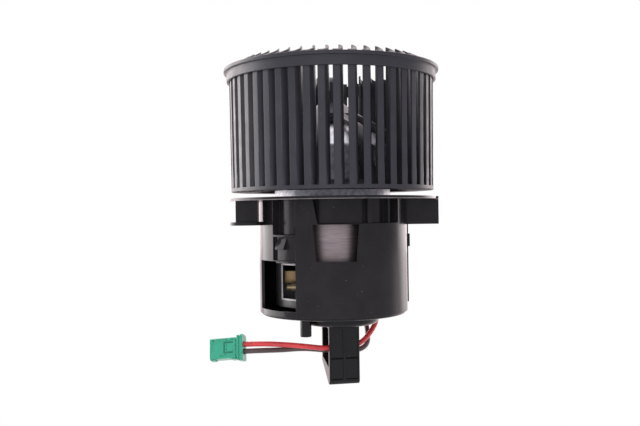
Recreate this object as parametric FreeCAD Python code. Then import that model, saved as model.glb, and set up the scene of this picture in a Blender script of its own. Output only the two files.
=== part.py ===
import FreeCAD, Part
import math
import os

V = FreeCAD.Vector

# Car cabin blower motor, in millimetres.
# The motor's axis is Z and the fan wheel is at the top. Z = 0 is the underside of the flange.
# Azimuth is measured in degrees from the front, -Y, and grows towards the right, +X.

# Fan wheel
blade_count = 47
first_blade_azimuth = 1.9
blade_tip_r = 71.3
blade_draft = 0.8
blade_depth = 11.3
blade_strip = 4.4
blade_strip_wall = 1.9
blade_wall = 1.5
blade_belly = 3.1
blade_belly_depth = 5.3
blade_root_back = 2.0
blade_bend_r = 1.8
blade_belly_r = 8.0
wheel_bottom_z = 6.3
rim_height = 2.7
rim_edge = 0.1
band_bottom_z = 82.3
band_stand_out = 1.7
band_wall = 2.2
lip_reach = 2.0
lip_rise = 6.3
lip_height = 2.5
band_edge_r = 0.6
lip_edge_r = 0.8
fin_rise = 5.9
fin_dip = 1.5
fin_peak_set_back = 1.0
hub_wall = 2.4
hub_gap = 4.4
hub_foot_reach = 8.0
hub_foot_spread = 7.0
hub_skirt_drop = 12.0
hub_shoulder_drop = 2.0
hub_crown_reach = 1.0
hub_boss_foot = 2.0
hub_arm_count = 8
hub_arm_width = 8.5
hub_arm_skew = 16.0
hub_arm_taper = 0.75
hub_window_inset = 4.0
hub_window_reach = 9.2
hub_window_bow = 1.6
hub_window_corner_r = 3.0
hub_boss_wall = 5.0
hub_boss_height = 19.5
hub_crown_rise = 2.6

# Shaft and its bearings
shaft_r = 4.0
shaft_stand_out = 4.5
shaft_end_gap = 2.8
shaft_chamfer = 0.6
running_gap = 0.04
press_gap = 0.01
bush_r = 7.5
bush_height = 8.0
bush_flat = 1.6
washer_wall = 1.6
washer_t = 0.6
washer_play = 0.1
retainer_t = 0.5
retainer_fingers = 6
retainer_slot = 1.8
retainer_rim = 2.2
bush_seat_wall = 3.0

# Motor can, drawn sheet steel
can_r = 40.4
can_wall = 1.5
can_bottom_z = -41.5
can_shoulder_z = 36.0
can_shoulder_width = 7.4
can_shoulder_height = 8.5
can_crown_width = 16.0
can_crown_height = 9.0
can_nose_step = 1.2
can_nose_height = 9.0
can_nose_gap = 0.1
can_hole_gap = 1.6
can_fillet = 3.0
can_step_r = 0.6
can_nose_edge_r = 1.2
can_nose_inner_r = 0.4
vent_count = 6
vent_r = 4.6
vent_inset = 7.0
first_vent_azimuth = 15.0

# Magnets and armature
magnet_t = 8.1
magnet_low_z = -24.0
magnet_high_z = 21.0
magnet_span = 138.0
magnet_spring_t = 0.8
magnet_spring_inset = 4.0
magnet_spring_leg = 2.0
air_gap = 0.9
core_low_z = -20.0
core_high_z = 16.0
slot_count = 12
slot_r = 2.6
slot_depth = 5.3
slot_mouth = 1.8
slot_play = 0.3
insulator_t = 1.2
insulator_inset = 0.8
winding_inset = 2.3
winding_r_in = 12.0
winding_overhang = 9.0
winding_round = 3.0
winding_groove_r = 1.2

# Commutator and brush gear
commutator_r = 12.5
commutator_below = 9.5
commutator_above = 9.0
bar_gap = 0.6
bar_gap_depth = 1.4
riser_stand_out = 1.7
riser_height = 2.6
brush_drop = 11.5
brush_width = 7.0
brush_height = 6.4
brush_length = 11.0
brush_face_gap = 0.15
holder_wall = 0.8
holder_slide_gap = 0.15
holder_wall_air = 4.0
holder_air = 2.7
holder_slot_end = 3.0
holder_slot = 1.8
rail_side = 2.6
brush_spring_turns = 5
brush_spring_wire = 0.7
brush_spring_r = 2.2
choke_r = 2.0
choke_wire_r = 3.1
choke_length = 13.0
choke_rod_end = 2.0
choke_coil_end = 1.0
choke_inset = 14.2
choke_y = 12.0
choke_lift = 12.4
cradle_size = (6.0, 4.0)
capacitor_r = 5.0
capacitor_t = 3.4
capacitor_way = (-0.6, -0.8)
capacitor_inset = 8.2
cutout_size = (12.0, 5.0, 8.0)
cutout_inset = (24.2, 11.2)
cutout_chamfer = 0.6

# End cover of the motor, moulded
end_wall = 2.2
end_height = 30.5
end_floor_t = 2.4
end_rim_t = 2.0
end_rim_width = 3.7
spigot_length = 5.0
end_window_sill = 6.0
end_window_head = 1.7
end_window_from = -62.0
end_window_to = -14.0
nose_wall = 4.5
nose_drop = 10.0
nose_floor_t = 2.0
bush_drop = 3.4
bush_cup_height = 5.0
well_gap = 0.3
end_screw_r = 1.6
end_screw_head_r = 3.2
end_screw_head_h = 2.2
end_screw_inset = 7.4
end_screw_length = 6.0
end_screw_cross = (4.0, 0.8, 1.2)
end_post_r = 4.2
end_post_top = 1.0

# Housing: flange and shell in one moulding
flange_reach = 20.5
flange_t = 2.0
flange_hole_r = 2.2
flange_hole_inset = 5.2
flange_hole_azimuths = (10.0, 130.0, 250.0)
collar_wall = 2.0
collar_depth = 13.0
shell_air = 3.9
shell_wall = 2.2
seam_drop = 4.7
pocket_wall = 1.4
pocket_floor_air = 0.6
front_pocket = (-11.8, 56.5, -15.7)
front_pocket_lean = 3.4
pocket_rib_angles = ((25.8, 29.6), (45.6, 47.2))
pocket_rib_inset = 1.1
left_pocket = (-51.2, -29.4, -22.7)
clip_recess = 2.0
clip_low_z = -40.3
hook_azimuths = (-47.5, -38.5)
hook_top_z = -24.5
hook_low_z = -32.5
hook_reach = 3.2
hook_catch = 1.2
left_window = (-73.0, -29.4)
left_window_sill = 3.7
front_window_top = (-13.6, 16.1, -16.3)
front_window_bottom = (-11.7, 14.2, -40.2)
web_azimuths = (-22.0, 70.0, 160.0, 250.0)
web_t = 2.2
web_low_z = -38.0
side_rib_azimuths = (92.5, 97.5)
side_rib_height = 1.5
side_rib_z = (-72.0, -17.0)
side_clip_height = 2.7
side_clip_z = (-33.0, -24.0)
ear_azimuth = -69.0
ear_reach = 10.3
ear_pad_r = 12.0
ear_pad_t = 2.4
ear_drop = 14.0
ear_post = (15.0, 12.0)
ear_wall = 2.0
ear_hole_r = 2.4
block_bite = 1.1
block_reach = 21.9
block_y = (-7.0, 7.0)
block_drop = 17.3
block_wall = 2.4

# Rubber isolators between the motor and the housing
isolator_t = 3.2
isolator_height = 9.0
isolator_lip = 0.9
isolator_lips = 3
isolator_drop = 1.5
isolator_gap = 0.02
lower_isolator_t = 3.0
lower_isolator_height = 7.5

# Bottom cover with its boss, peg and cable foot
cap_t = 1.8
cap_inset = 1.4
cap_corner_r = 1.2
cap_spigot_wall = 2.0
cap_spigot_height = 3.0
cap_spigot_gap = 0.12
boss_centre = (4.2, 0.0)
boss_r = 27.0
boss_wall = 2.2
boss_drop = 9.3
boss_corner_r = 3.2
socket_wall = 2.0
socket_rise = 1.7
peg_centre = (-19.6, -20.4)
peg_r = 3.85
peg_drop = 15.8
peg_round = 0.8
foot_width = 21.5
foot_turn = 12.0
foot_front_y = -12.0
foot_rear_y = 12.0
foot_front_t = 2.8
foot_rear_t = 2.4
foot_drop = 41.0
foot_toe = 4.0
foot_toe_chamfer = (1.4, 2.0)
foot_rear_rise = 13.0
foot_slot_head = 2.5
foot_slot_front_rise = 11.5
foot_slot_rear_rise = 16.0
foot_floor_t = 2.4
foot_side_t = 2.4
foot_rib_t = 2.0
foot_edge_t = 1.3
foot_panel_depth = 0.8
foot_panel_foot = 1.6
foot_panel_head = 3.0
foot_line_rise = 17.5
foot_line = (0.8, 0.5)

# Leads, grommet and connector
lead_r = 1.85
lead_bend_share = 0.45
grommet_azimuth = 135.2
grommet_inset = 12.24
grommet_edge_r = 1.0
grommet_core_r = 6.6
grommet_head_r = 7.6
grommet_head_t = 2.4
grommet_back_r = 7.3
grommet_back_t = 1.2
connector_face = (-63.3, -1.6, -102.4)
connector_tilt = 5.7
connector_yaw = 10.0
connector_roll = 20.0
connector_collar = (4.3, 9.8, 18.2)
connector_ridge = (1.4, 17.2)
connector_neck = (0.8, 0.7)
connector_groove = (1.0, 0.7)
connector_body = (18.6, 9.0, 14.4)
connector_chamfer = 1.2
connector_key = (3.4, 6.0, 0.8)
entry_r = 2.3
entry_depth = 5.0
entry_offset = 2.5
lead_end_depth = 4.0
lead_end_gap = 0.4
socket_depth = 9.5
terminal_set_back = 5.2
terminal_root = 1.0
socket_size = (6.8, 11.0)
terminal_size = (0.8, 2.2)
barrel_r = 1.3
barrel_gap = 0.1
lock_place = (10.1, 0.3)
lock_size = (6.7, 8.0)
lock_bar = 1.0
lock_t = 1.0
lock_gap = 0.05
face_mark_depth = 0.6
face_pit_r = 0.55
face_pits = ((2.8, 5.6), (12.4, 5.7), (16.6, 5.8))
face_slots = ((12.2, 0.4, 0.7, 4.6), (8.6, -5.4, 3.0, 0.8), (11.6, -4.8, 1.1, 0.8))

# Wheel clip
clip_t = 1.0
clip_wall = 4.2
clip_teeth = 6
clip_slot = (1.0, 2.0)
clip_hem = (0.9, 1.2)

# How far fused forms reach into each other, and how far a cut runs past what it cuts
bite = 0.5
overrun = 1.0

# Each lead drops straight out of the grommet, offset (x, y) from its centre and down to a height
red_exit = (4.2, -0.9, -88.0)
red_route = [
    (27.4, 18.6, -95.0),
    (20.0, 9.0, -101.4),
    (10.4, 2.2, -104.3),
    (-6.0, -0.6, -104.0),
    (-22.5, -1.7, -101.8),
    (-38.0, -1.8, -100.4),
    (-53.0, -2.0, -99.7),
    (-67.3, 0.0, -100.4),
]
dark_exit = (-4.2, 0.9, -87.2)
dark_route = [
    (24.9, 25.2, -96.4),
    (24.6, 17.0, -103.6),
    (18.6, 9.8, -106.9),
    (8.6, 6.0, -107.2),
    (-6.5, 3.7, -105.8),
    (-22.0, 2.5, -104.0),
    (-37.0, 0.2, -104.7),
    (-52.5, -3.2, -104.3),
    (-67.1, -1.7, -105.1),
]

# Places that follow from the sizes above, from the motor outwards
can_inner_r = can_r - can_wall
can_nose_r = bush_r + can_nose_gap + can_wall
can_shoulder_r = can_r - can_shoulder_width
can_crown_r = can_shoulder_r - can_crown_width
can_shoulder_top_z = can_shoulder_z + can_shoulder_height
can_crown_z = can_shoulder_top_z + can_crown_height
can_nose_z = can_crown_z + can_nose_height
vent_pitch_r = can_shoulder_r - vent_inset
magnet_r_in = can_inner_r - magnet_t
core_r = magnet_r_in - air_gap
slot_centre_r = core_r - slot_depth
winding_r_out = core_r - winding_inset
washer_r = shaft_r + washer_wall
brush_z = can_bottom_z - brush_drop
commutator_low_z = brush_z - commutator_below
commutator_high_z = brush_z + commutator_above
riser_r = commutator_r + riser_stand_out
end_inner_r = can_r - end_wall
holder_start_r = commutator_r + holder_air
holder_end_r = end_inner_r - holder_wall_air
capacitor_place = tuple(way * (end_inner_r - capacitor_inset) for way in capacitor_way)
cutout_place = (end_inner_r - cutout_inset[0], cutout_inset[1] - end_inner_r)
end_screw_pitch_r = can_r - end_screw_inset
choke_x = end_inner_r - choke_inset
end_floor_z = can_bottom_z - end_height
end_window_low_z = end_floor_z + end_window_sill
end_window_high_z = can_bottom_z - end_window_head
choke_z = end_floor_z + choke_lift
nose_r = bush_r + nose_wall
nose_bottom_z = end_floor_z - nose_drop
hub_window_r_in = can_crown_r + hub_window_inset
hub_window_r_out = can_r + hub_gap + hub_window_reach
hub_boss_r = shaft_r + hub_boss_wall
hub_boss_top_z = can_nose_z + hub_boss_height
shaft_top_z = hub_boss_top_z + shaft_stand_out
shaft_bottom_z = nose_bottom_z + shaft_end_gap
clip_r = shaft_r + clip_wall
blade_foot_tip_r = blade_tip_r - blade_draft
blade_root_r = blade_tip_r - blade_depth
rim_r = blade_foot_tip_r + rim_edge
band_r = blade_tip_r + band_stand_out
lip_r = band_r + lip_reach
lip_bottom_z = band_bottom_z + lip_rise
collar_r = can_r + isolator_t
shell_r = collar_r + collar_wall + shell_air + shell_wall
pocket_floor_r = collar_r + collar_wall + pocket_floor_air
flange_r = shell_r + flange_reach
flange_hole_circle_r = flange_r - flange_hole_inset
block_x = (shell_r - block_bite, shell_r + block_reach)
seam_z = end_floor_z - seam_drop
boss_low_z = seam_z - boss_drop
peg_low_z = seam_z - peg_drop
foot_low_z = boss_low_z - foot_drop
grommet_low_z = seam_z - cap_t - grommet_head_t
grommet_centre = (
    (shell_r - grommet_inset) * math.sin(math.radians(grommet_azimuth)),
    -(shell_r - grommet_inset) * math.cos(math.radians(grommet_azimuth)),
)


def polar(r, azimuth, z=0.0):
    """Point at a radius and an azimuth from the front."""
    a = math.radians(azimuth)
    return V(r * math.sin(a), -r * math.cos(a), z)


def ring(r_in, r_out, z_low, z_high):
    """Plain ring or, with no inner radius, a plain cylinder."""
    outer = Part.makeCylinder(r_out, z_high - z_low, V(0, 0, z_low))
    if r_in <= 0:
        return outer
    return outer.cut(Part.makeCylinder(r_in, z_high - z_low, V(0, 0, z_low)))


def rounded_wire(corners, closed=True):
    """Wire of straight runs. Each corner is a point and the radius that rounds it."""
    count = len(corners)
    stops = []
    for i, (point, radius) in enumerate(corners):
        if radius <= 0 or (not closed and i in (0, count - 1)):
            stops.append((point, None, point))
            continue
        back = (corners[i - 1][0] - point).normalize()
        ahead = (corners[(i + 1) % count][0] - point).normalize()
        half_turn = (math.pi - back.getAngle(ahead)) / 2
        trim = radius * math.tan(half_turn)
        middle = (back + ahead).normalize()
        crown = point + middle * (radius / math.cos(half_turn) - radius)
        stops.append((point + back * trim, crown, point + ahead * trim))
    edges = []
    for i, (enter, crown, leave) in enumerate(stops):
        if crown is not None:
            edges.append(Part.Arc(enter, crown, leave).toShape())
        if i == count - 1 and not closed:
            break
        following = stops[(i + 1) % count][0]
        if (following - leave).Length > 1e-6:
            edges.append(Part.LineSegment(leave, following).toShape())
    return Part.Wire(edges)


def turned(outline, sweep=360.0, azimuth=0.0):
    """Solid of revolution about Z from (r, z) or (r, z, corner radius) points."""
    corners = [(V(p[0], 0, p[1]), p[2] if len(p) > 2 else 0.0) for p in outline]
    face = Part.Face(rounded_wire(corners))
    solid = face.revolve(V(0, 0, 0), V(0, 0, 1), sweep)
    solid.rotate(V(0, 0, 0), V(0, 0, 1), azimuth - 90)
    return solid


def sector(r_in, r_out, z_low, z_high, azimuth_from, azimuth_to):
    """Piece of a ring between two azimuths."""
    outline = [(r_in, z_low), (r_out, z_low), (r_out, z_high), (r_in, z_high)]
    return turned(outline, azimuth_to - azimuth_from, azimuth_from)


def box(x, y, z):
    """Box between the given limits along each axis."""
    return Part.makeBox(x[1] - x[0], y[1] - y[0], z[1] - z[0], V(x[0], y[0], z[0]))


def post(r, z_low, z_high, centre):
    """Upright cylinder on a point of the plan."""
    return Part.makeCylinder(r, z_high - z_low, V(centre[0], centre[1], z_low))


def prism(points, direction):
    """Extruded polygon."""
    face = Part.Face(Part.makePolygon(points + [points[0]]))
    return face.extrude(direction)


def spun(shape, azimuth):
    """Copy of a shape turned about the motor's axis towards the right."""
    copy = shape.copy()
    copy.rotate(V(0, 0, 0), V(0, 0, 1), azimuth)
    return copy


def pattern(shape, count, start=0.0):
    """Evenly spaced copies about the motor's axis."""
    return [spun(shape, start + 360.0 * i / count) for i in range(count)]


def shifted_profile(points, offset):
    """Open (r, z) outline moved sideways by an offset, to the right of its direction."""
    lines = []
    for (r0, z0), (r1, z1) in zip(points, points[1:]):
        length = math.hypot(r1 - r0, z1 - z0)
        nr = (z1 - z0) / length
        nz = -(r1 - r0) / length
        lines.append((r0 + nr * offset, z0 + nz * offset, r1 - r0, z1 - z0))
    moved = [(lines[0][0], lines[0][1])]
    for (r0, z0, dr0, dz0), (r1, z1, dr1, dz1) in zip(lines, lines[1:]):
        t = ((r1 - r0) * dz1 - (z1 - z0) * dr1) / (dr0 * dz1 - dz0 * dr1)
        moved.append((r0 + dr0 * t, z0 + dz0 * t))
    last = lines[-1]
    moved.append((last[0] + last[2], last[1] + last[3]))
    return moved


def save(shape, node):
    """Write one piece."""
    if not shape.isValid():
        print("not valid:", node)
    solids = len(shape.Solids)
    print("%-26s %2d solid(s) %10.1f mm3" % (node, solids, shape.Volume))
    shape.exportStep("parts/" + node + ".step")


def can_outline():
    """Outer (r, z) line of the can from its open end up to the shaft hole."""
    return [
        (can_r, can_bottom_z),
        (can_r, can_shoulder_z),
        (can_shoulder_r, can_shoulder_top_z),
        (can_crown_r, can_crown_z),
        (can_nose_r, can_crown_z + can_nose_step),
        (can_nose_r, can_nose_z),
        (shaft_r + can_hole_gap, can_nose_z),
    ]


# Fan wheel

def blade_section():
    """Plan section of one blade: a strip along the rim that turns into a belly and the root."""
    half = blade_strip / 2
    bend_x = half + blade_wall / 4
    outside = -(blade_tip_r + bite)
    strip_in = -(blade_tip_r - blade_strip_wall)
    belly = V(half + blade_belly, -(blade_tip_r - blade_belly_depth), 0)
    root = V(belly.x - blade_root_back, -(blade_root_r - bite), 0)
    wall = V(blade_wall, 0, 0)
    return Part.Face(rounded_wire([
        (V(-half, outside, 0), 0),
        (V(bend_x, outside, 0), blade_bend_r),
        (belly, blade_belly_r),
        (root, 0),
        (root - wall, 0),
        (belly - wall, blade_belly_r - blade_wall),
        (V(bend_x - blade_wall, strip_in, 0), blade_bend_r / 2),
        (V(-half, strip_in, 0), 0),
    ]))


def blade_envelope():
    """Turned space that trims each blade: tapered tips and a concave, rising top."""
    low = wheel_bottom_z + rim_height / 2
    lip_top = lip_bottom_z + lip_height
    peak_r = blade_root_r + fin_peak_set_back
    tip_top = V(blade_tip_r, 0, lip_top - bite)
    peak = V(peak_r, 0, lip_top + fin_rise)
    middle = (tip_top + peak) * 0.5 - V(0, 0, fin_dip)
    root_low = V(blade_root_r, 0, low)
    tip_low = V(blade_foot_tip_r, 0, low)
    edges = [
        Part.LineSegment(root_low, tip_low).toShape(),
        Part.LineSegment(tip_low, tip_top).toShape(),
        Part.Arc(tip_top, middle, peak).toShape(),
        Part.LineSegment(peak, root_low).toShape(),
    ]
    return Part.Face(Part.Wire(edges)).revolve(V(0, 0, 0), V(0, 0, 1), 360)


def hub_outline():
    """Inner (r, z) line of the hub, which clears the can all over."""
    return [
        (can_r + hub_gap + hub_foot_reach, wheel_bottom_z),
        (can_r + hub_gap, can_shoulder_z - hub_skirt_drop),
        (can_r + hub_gap, can_shoulder_z - hub_shoulder_drop),
        (can_shoulder_r + hub_gap, can_shoulder_top_z + hub_gap / 2),
        (can_crown_r + hub_crown_reach, can_crown_z + hub_gap),
        (hub_boss_r - hub_boss_foot, can_nose_z + hub_crown_rise),
    ]


def hub_dome():
    """Bell of the hub with skewed windows that leave curved arms."""
    inner = hub_outline()
    outer = shifted_profile(inner, hub_wall)
    outline = [(rim_r, wheel_bottom_z)] + inner
    outline += [(shaft_r + bite, inner[-1][1]), (shaft_r + bite, outer[-1][1] + bite)]
    outline += outer[:0:-1]
    outline += [(outer[1][0] + hub_foot_spread, wheel_bottom_z + rim_height)]
    outline += [(rim_r, wheel_bottom_z + rim_height)]
    dome = turned(outline)
    boss = ring(0, hub_boss_r, can_nose_z + hub_crown_rise, hub_boss_top_z)
    dome = dome.fuse(boss)
    pitch = 360.0 / hub_arm_count
    inner_half = pitch / 2 - math.degrees(hub_arm_width / 2 / hub_window_r_in) * hub_arm_taper
    outer_half = pitch / 2 - math.degrees(hub_arm_width / 2 / hub_window_r_out)
    plan = [
        (polar(hub_window_r_in, -inner_half - hub_arm_skew / 2), hub_window_corner_r),
        (polar(hub_window_r_in, inner_half - hub_arm_skew / 2), hub_window_corner_r),
        (polar(hub_window_r_out, outer_half + hub_arm_skew / 2), hub_window_corner_r),
        (polar(hub_window_r_out + hub_window_bow, hub_arm_skew / 2), 0.0),
        (polar(hub_window_r_out, -outer_half + hub_arm_skew / 2), hub_window_corner_r),
    ]
    floor_z = wheel_bottom_z - overrun
    lifted = [(p + V(0, 0, floor_z), r) for p, r in plan]
    window = Part.Face(rounded_wire(lifted)).extrude(V(0, 0, hub_boss_top_z - floor_z))
    window = window.cut(ring(0, hub_boss_r + hub_wall, floor_z, hub_boss_top_z))
    return dome.cut(Part.makeCompound(pattern(window, hub_arm_count)))


def fan_wheel():
    """The whole wheel is one moulding: hub, bottom ring, blades, band and lip."""
    blade = blade_section().extrude(V(0, 0, lip_bottom_z + lip_height + fin_rise + overrun))
    blade = blade.common(blade_envelope())
    blades = pattern(blade, blade_count, first_blade_azimuth)
    lip_top = lip_bottom_z + lip_height
    band = turned([
        (band_r - band_wall, band_bottom_z),
        (band_r, band_bottom_z, band_edge_r),
        (band_r, lip_bottom_z, band_edge_r),
        (lip_r, lip_bottom_z, lip_edge_r),
        (lip_r, lip_top, lip_edge_r),
        (band_r - band_wall, lip_top),
    ])
    wheel = hub_dome().multiFuse(blades + [band])
    bore = post(shaft_r + press_gap, 0, hub_boss_top_z + overrun, (0, 0))
    return wheel.cut(bore).removeSplitter()


def wheel_clip():
    """Toothed spring washer that grips the shaft on top of the hub."""
    grip_r = shaft_r + press_gap
    disc = ring(grip_r, clip_r, hub_boss_top_z, hub_boss_top_z + clip_t)
    slot_w, slot_l = clip_slot
    slot = box((grip_r - overrun, grip_r + slot_l), (-slot_w / 2, slot_w / 2),
               (hub_boss_top_z - overrun, hub_boss_top_z + clip_t + overrun))
    disc = disc.cut(Part.makeCompound(pattern(slot, clip_teeth)))
    hem_t, hem_h = clip_hem
    hem = ring(clip_r - hem_t, clip_r, hub_boss_top_z + clip_t, hub_boss_top_z + clip_t + hem_h)
    return disc.fuse(hem)


# Rotor

def motor_shaft():
    """Ground shaft with chamfered ends."""
    c = shaft_chamfer
    return turned([
        (0, shaft_bottom_z),
        (shaft_r - c, shaft_bottom_z),
        (shaft_r, shaft_bottom_z + c),
        (shaft_r, shaft_top_z - c),
        (shaft_r - c, shaft_top_z),
        (0, shaft_top_z),
    ])


def slot_cutter(z_low, z_high):
    """Round-bottomed armature slot with its narrow mouth."""
    bottom = post(slot_r, z_low, z_high, (slot_centre_r, 0))
    mouth = box((slot_centre_r, core_r + overrun), (-slot_mouth / 2, slot_mouth / 2), (z_low, z_high))
    return bottom.fuse(mouth)


def armature_core():
    """Stack of laminations with slots."""
    core = ring(shaft_r + press_gap, core_r, core_low_z, core_high_z)
    slot = slot_cutter(core_low_z - overrun, core_high_z + overrun)
    return core.cut(Part.makeCompound(pattern(slot, slot_count)))


def insulator_star(z_low):
    """Slotted insulating disc at one end of the core."""
    disc = ring(shaft_r + press_gap, core_r - insulator_inset, z_low, z_low + insulator_t)
    slot = slot_cutter(z_low - overrun, z_low + insulator_t + overrun)
    return disc.cut(Part.makeCompound(pattern(slot, slot_count)))


def slot_insulators():
    """The two insulating stars."""
    return Part.makeCompound([insulator_star(core_high_z), insulator_star(core_low_z - insulator_t)])


def armature_windings():
    """Copper coils: a bundle in each slot and lobed heads at both ends."""
    top_z = core_high_z + insulator_t
    low_z = core_low_z - insulator_t
    bundle = post(slot_r - slot_play, low_z - bite, top_z + bite, (slot_centre_r, 0))
    parts = pattern(bundle, slot_count)
    for z, up in ((top_z, 1), (low_z, -1)):
        far = z + up * winding_overhang
        parts.append(turned([
            (winding_r_in, z),
            (winding_r_out, z),
            (winding_r_out, far, winding_round),
            (winding_r_in, far, winding_round),
        ]))
        groove = post(winding_groove_r, min(z, far) - overrun, max(z, far) + overrun,
                      (winding_r_out, 0))
        parts[-1] = parts[-1].cut(Part.makeCompound(pattern(groove, slot_count, 180.0 / slot_count)))
    return parts[0].multiFuse(parts[1:])


def commutator():
    """Copper bars on a moulded core, with a riser at the coil end."""
    body = ring(shaft_r + press_gap, commutator_r, commutator_low_z, commutator_high_z)
    riser = ring(shaft_r + press_gap, riser_r, commutator_high_z - riser_height, commutator_high_z)
    bars = body.fuse(riser)
    gap = box(
        (commutator_r - bar_gap_depth, riser_r + overrun),
        (-bar_gap / 2, bar_gap / 2),
        (commutator_low_z - overrun, commutator_high_z + overrun),
    )
    return bars.cut(Part.makeCompound(pattern(gap, slot_count)))


def thrust_washer(z_low):
    """Thin slip washer on the shaft."""
    return ring(shaft_r + running_gap, washer_r, z_low, z_low + washer_t)


# Bearings

def bearing_bush(z_low):
    """Sintered bush with a crowned outside and flat ends."""
    z_high = z_low + bush_height
    flat_r = bush_r - bush_flat
    middle = (z_low + z_high) / 2
    edges = [
        Part.LineSegment(V(shaft_r + running_gap, 0, z_low), V(flat_r, 0, z_low)).toShape(),
        Part.Arc(V(flat_r, 0, z_low), V(bush_r, 0, middle), V(flat_r, 0, z_high)).toShape(),
        Part.LineSegment(V(flat_r, 0, z_high), V(shaft_r + running_gap, 0, z_high)).toShape(),
        Part.LineSegment(V(shaft_r + running_gap, 0, z_high), V(shaft_r + running_gap, 0, z_low)).toShape(),
    ]
    return Part.Face(Part.Wire(edges)).revolve(V(0, 0, 0), V(0, 0, 1), 360)


def bearing_retainer(z_low, r_out):
    """Spring plate whose fingers hold the bush in its seat."""
    finger_r = bush_r - bush_flat + can_nose_gap
    plate = ring(finger_r, r_out, z_low, z_low + retainer_t)
    slot = box((finger_r - overrun, r_out - retainer_rim), (-retainer_slot / 2, retainer_slot / 2),
               (z_low - overrun, z_low + retainer_t + overrun))
    return plate.cut(Part.makeCompound(pattern(slot, retainer_fingers)))


# Stator

def motor_can():
    """Drawn steel can: straight wall, domed end with vents, nose for the upper bearing."""
    outer = can_outline()
    inner = shifted_profile(outer, -can_wall)
    inner[-1] = (outer[-1][0], inner[-1][1])
    wide = can_fillet + can_wall
    radii = [0, wide, can_fillet, can_fillet, can_step_r, can_nose_edge_r, 0]
    inner_radii = [0, can_fillet, wide, wide, 0, can_nose_inner_r, 0]
    outline = [(p[0], p[1], r) for p, r in zip(outer, radii)]
    outline += [(p[0], p[1], r) for p, r in zip(inner[::-1], inner_radii[::-1])]
    can = turned(outline)
    vent = post(vent_r, can_shoulder_z, can_nose_z + overrun, (vent_pitch_r, 0))
    return can.cut(Part.makeCompound(pattern(vent, vent_count, first_vent_azimuth)))


def magnet(azimuth):
    """Arc magnet glued to the can."""
    half = magnet_span / 2
    return sector(magnet_r_in, can_inner_r - press_gap, magnet_low_z, magnet_high_z,
                  azimuth - half, azimuth + half)


def magnet_springs():
    """Two sheet springs that push the magnets apart at the front and the back."""
    half_gap = 90.0 - magnet_span / 2
    outer_r = can_inner_r - press_gap
    t_angle = math.degrees(magnet_spring_t / magnet_r_in)
    springs = []
    for azimuth in (0.0, 180.0):
        low = azimuth - half_gap + running_gap
        high = azimuth + half_gap - running_gap
        z = (magnet_low_z + magnet_spring_inset, magnet_high_z - magnet_spring_inset)
        back = sector(outer_r - magnet_spring_t, outer_r, z[0], z[1], low, high)
        leg_a = sector(magnet_r_in + magnet_spring_leg, outer_r, z[0], z[1], low, low + t_angle)
        leg_b = sector(magnet_r_in + magnet_spring_leg, outer_r, z[0], z[1], high - t_angle, high)
        springs.append(back.multiFuse([leg_a, leg_b]))
    return Part.makeCompound(springs)


# End cover and brush gear

def end_cover():
    """Moulded end of the motor: wall with windows, brush card, bearing seat and nose."""
    floor_top = end_floor_z + end_floor_t
    bush_low = lower_bush_z()
    wall = ring(can_r - end_wall, can_r, end_floor_z, can_bottom_z)
    spigot = ring(can_inner_r - end_wall, can_inner_r - press_gap, can_bottom_z - end_rim_t,
                  can_bottom_z + spigot_length)
    floor = ring(0, can_r, end_floor_z, floor_top)
    nose = ring(0, nose_r, nose_bottom_z, end_floor_z)
    rim = ring(can_r - end_rim_width, can_r, can_bottom_z - end_rim_t, can_bottom_z)
    seat = ring(0, bush_r + bush_seat_wall, floor_top, bush_low + bush_height)
    cover = floor.multiFuse([wall, spigot, nose, rim, seat])
    for azimuth in (0.0, 180.0):
        cover = cover.cut(sector(
            can_r - end_rim_width - overrun, can_r + overrun, end_window_low_z, end_window_high_z,
            azimuth + end_window_from, azimuth + end_window_to))
    for side in (-1, 1):
        rail_y = brush_width / 2 + rail_side
        rail = box((holder_start_r, can_r - end_wall + bite), (-rail_y, rail_y),
                   (floor_top - bite, brush_z - brush_height / 2 - holder_wall - holder_slide_gap))
        cover = cover.fuse(spun(rail, 90.0 * (1 - side)))
        cradle = box((choke_x - cradle_size[0] / 2, choke_x + cradle_size[0] / 2),
                     (choke_y - cradle_size[1] / 2, choke_y + cradle_size[1] / 2),
                     (floor_top - bite, choke_z - choke_wire_r))
        cover = cover.fuse(spun(cradle, 90.0 * (1 - side)))
        screw_post = post(end_post_r, floor_top - bite, end_window_low_z + end_post_top,
                          (0, side * end_screw_pitch_r))
        cover = cover.fuse(screw_post)
    cup = post(bush_r + press_gap, bush_low, floor_top + bush_cup_height, (0, 0))
    well = post(washer_r + well_gap, nose_bottom_z + nose_floor_t, bush_low, (0, 0))
    cover = cover.cut(cup).cut(well)
    for side in (-1, 1):
        hole = post(end_screw_r, end_floor_z - overrun, end_window_low_z + end_post_top + overrun,
                    (0, side * end_screw_pitch_r))
        cover = cover.cut(hole)
    return cover.removeSplitter()


def lower_bush_z():
    """Underside of the lower bush."""
    return end_floor_z - bush_drop


def upper_bush_z():
    """Underside of the upper bush, which touches the inside of the can's nose."""
    return can_nose_z - can_wall - bush_height


def brush_holder(side):
    """Brass box that guides one brush, open at both ends."""
    y_in = brush_width / 2 + holder_slide_gap
    z_in = brush_height / 2 + holder_slide_gap
    x = (holder_start_r, holder_end_r)
    outer = box(x, (-y_in - holder_wall, y_in + holder_wall),
                (brush_z - z_in - holder_wall, brush_z + z_in + holder_wall))
    inner = box((x[0] - overrun, x[1] - holder_wall), (-y_in, y_in), (brush_z - z_in, brush_z + z_in))
    slot = box((x[0] + holder_slot_end, x[1] - holder_slot_end), (-holder_slot / 2, holder_slot / 2),
               (brush_z, brush_z + z_in + holder_wall + overrun))
    return spun(outer.cut(inner).cut(slot), 90.0 * (1 - side))


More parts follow.
